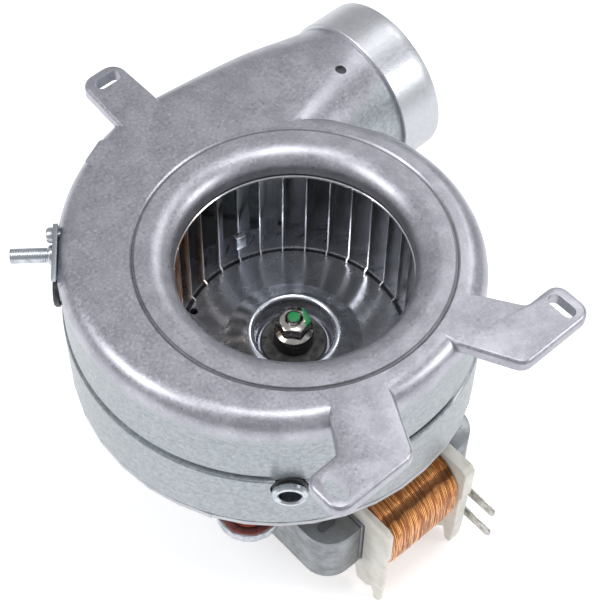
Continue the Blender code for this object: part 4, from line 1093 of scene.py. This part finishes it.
def grommet(number):
    node = f"mount_grommet_{number}"
    a, b, centre = low(node).z, high(node).z, middle(node)
    half = (b + a) / 2
    profile = [(2.4, a), (6.6, a), (6.9, a + 0.3), (6.9, a + 1.3), (6.6, a + 1.9), (6.3, a + 2.6),
               (6.0, half - 1.5), (5.9, half), (6.1, half + 1.5), (7.4, b - 2.6), (7.6, b - 1.6),
               (7.2, b - 0.3), (6.8, b), (2.4, b)]
    body = revolve(profile, 64, centre=(centre.x, centre.y))
    place(body, SILICONE, STATIC, (node,), name=f"grommet_{number}")


def cover():
    soften("rear_cover", COVER, STATIC, 0.3)


# ---------------------------------------------------------------- stage, light and camera

CAMERA_TARGET = Vector((-7.2, -10.5, -9.0))
CAMERA_AZIMUTH, CAMERA_ELEVATION, CAMERA_ROLL = -43.03, 54.33, 1.18
CAMERA_DISTANCE = 534.2
CAMERA_VIEW_ANGLE = 20.38


def view_axes(azimuth, elevation):
    """Right, up and backward directions of a viewer at azimuth and elevation."""
    a, e = math.radians(azimuth), math.radians(elevation)
    back = Vector((math.sin(a) * math.cos(e), -math.cos(a) * math.cos(e), math.sin(e)))
    right = Vector((math.cos(a), math.sin(a), 0.0))
    return right, back.cross(right), back


def camera():
    right, up, back = view_axes(CAMERA_AZIMUTH, CAMERA_ELEVATION)
    roll = math.radians(CAMERA_ROLL)
    across = right * math.cos(roll) + up * math.sin(roll)
    upward = up * math.cos(roll) - right * math.sin(roll)
    data = bpy.data.cameras.new("camera")
    data.angle = math.radians(CAMERA_VIEW_ANGLE)
    data.clip_start = 0.01
    obj = bpy.data.objects.new("camera", data)
    bpy.context.scene.collection.objects.link(obj)
    matrix = Matrix((across, upward, back)).transposed().to_4x4()
    matrix.translation = (CAMERA_TARGET + back * CAMERA_DISTANCE) * MM
    obj.matrix_world = matrix
    bpy.context.scene.camera = obj


def softbox(name, azimuth, elevation, distance, size, power):
    """Area light that faces the fan from a direction given as for the camera."""
    right, up, back = view_axes(azimuth, elevation)
    data = bpy.data.lights.new(name, "AREA")
    data.shape = "RECTANGLE"
    data.size, data.size_y = size
    data.energy = power
    obj = bpy.data.objects.new(name, data)
    bpy.context.scene.collection.objects.link(obj)
    matrix = Matrix((right, up, back)).transposed().to_4x4()
    matrix.translation = back * distance
    obj.matrix_world = matrix


def stage():
    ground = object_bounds()[0][2]
    bm = bmesh.new()
    bmesh.ops.create_grid(bm, x_segments=1, y_segments=1, size=4000)
    bmesh.ops.translate(bm, verts=bm.verts, vec=(0, 0, ground / MM - 0.2))
    floor = make_object("floor", bm)
    s = Shader("floor_paper", 0.0, 0.8, (0.93, 0.93, 0.94))
    s.bump(s.noise(8.0, 3.0), 0.02, 0.1)
    s.bsdf.inputs["Emission Color"].default_value = (1.0, 1.0, 1.0, 1.0)
    s.bsdf.inputs["Emission Strength"].default_value = 0.40
    floor.data.materials.append(s.mat)
    floor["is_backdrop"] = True
    world = bpy.data.worlds.new("studio")
    world.use_nodes = True
    background = world.node_tree.nodes["Background"]
    background.inputs["Color"].default_value = (0.95, 0.97, 1.0, 1.0)
    background.inputs["Strength"].default_value = 0.48
    bpy.context.scene.world = world
    bpy.context.scene.view_settings.view_transform = "Standard"
    softbox("key", -118, 46, 1.2, (0.35, 0.6), 5.5)
    softbox("fill", 40, 32, 1.4, (0.5, 0.4), 5.5)
    softbox("overhead", 20, 86, 1.3, (0.4, 0.4), 5.0)
    softbox("back", 105, 48, 1.4, (0.5, 0.3), 2.5)


camera()
housing()
cover()
fittings()
impeller()
hub()
motor()
stage()
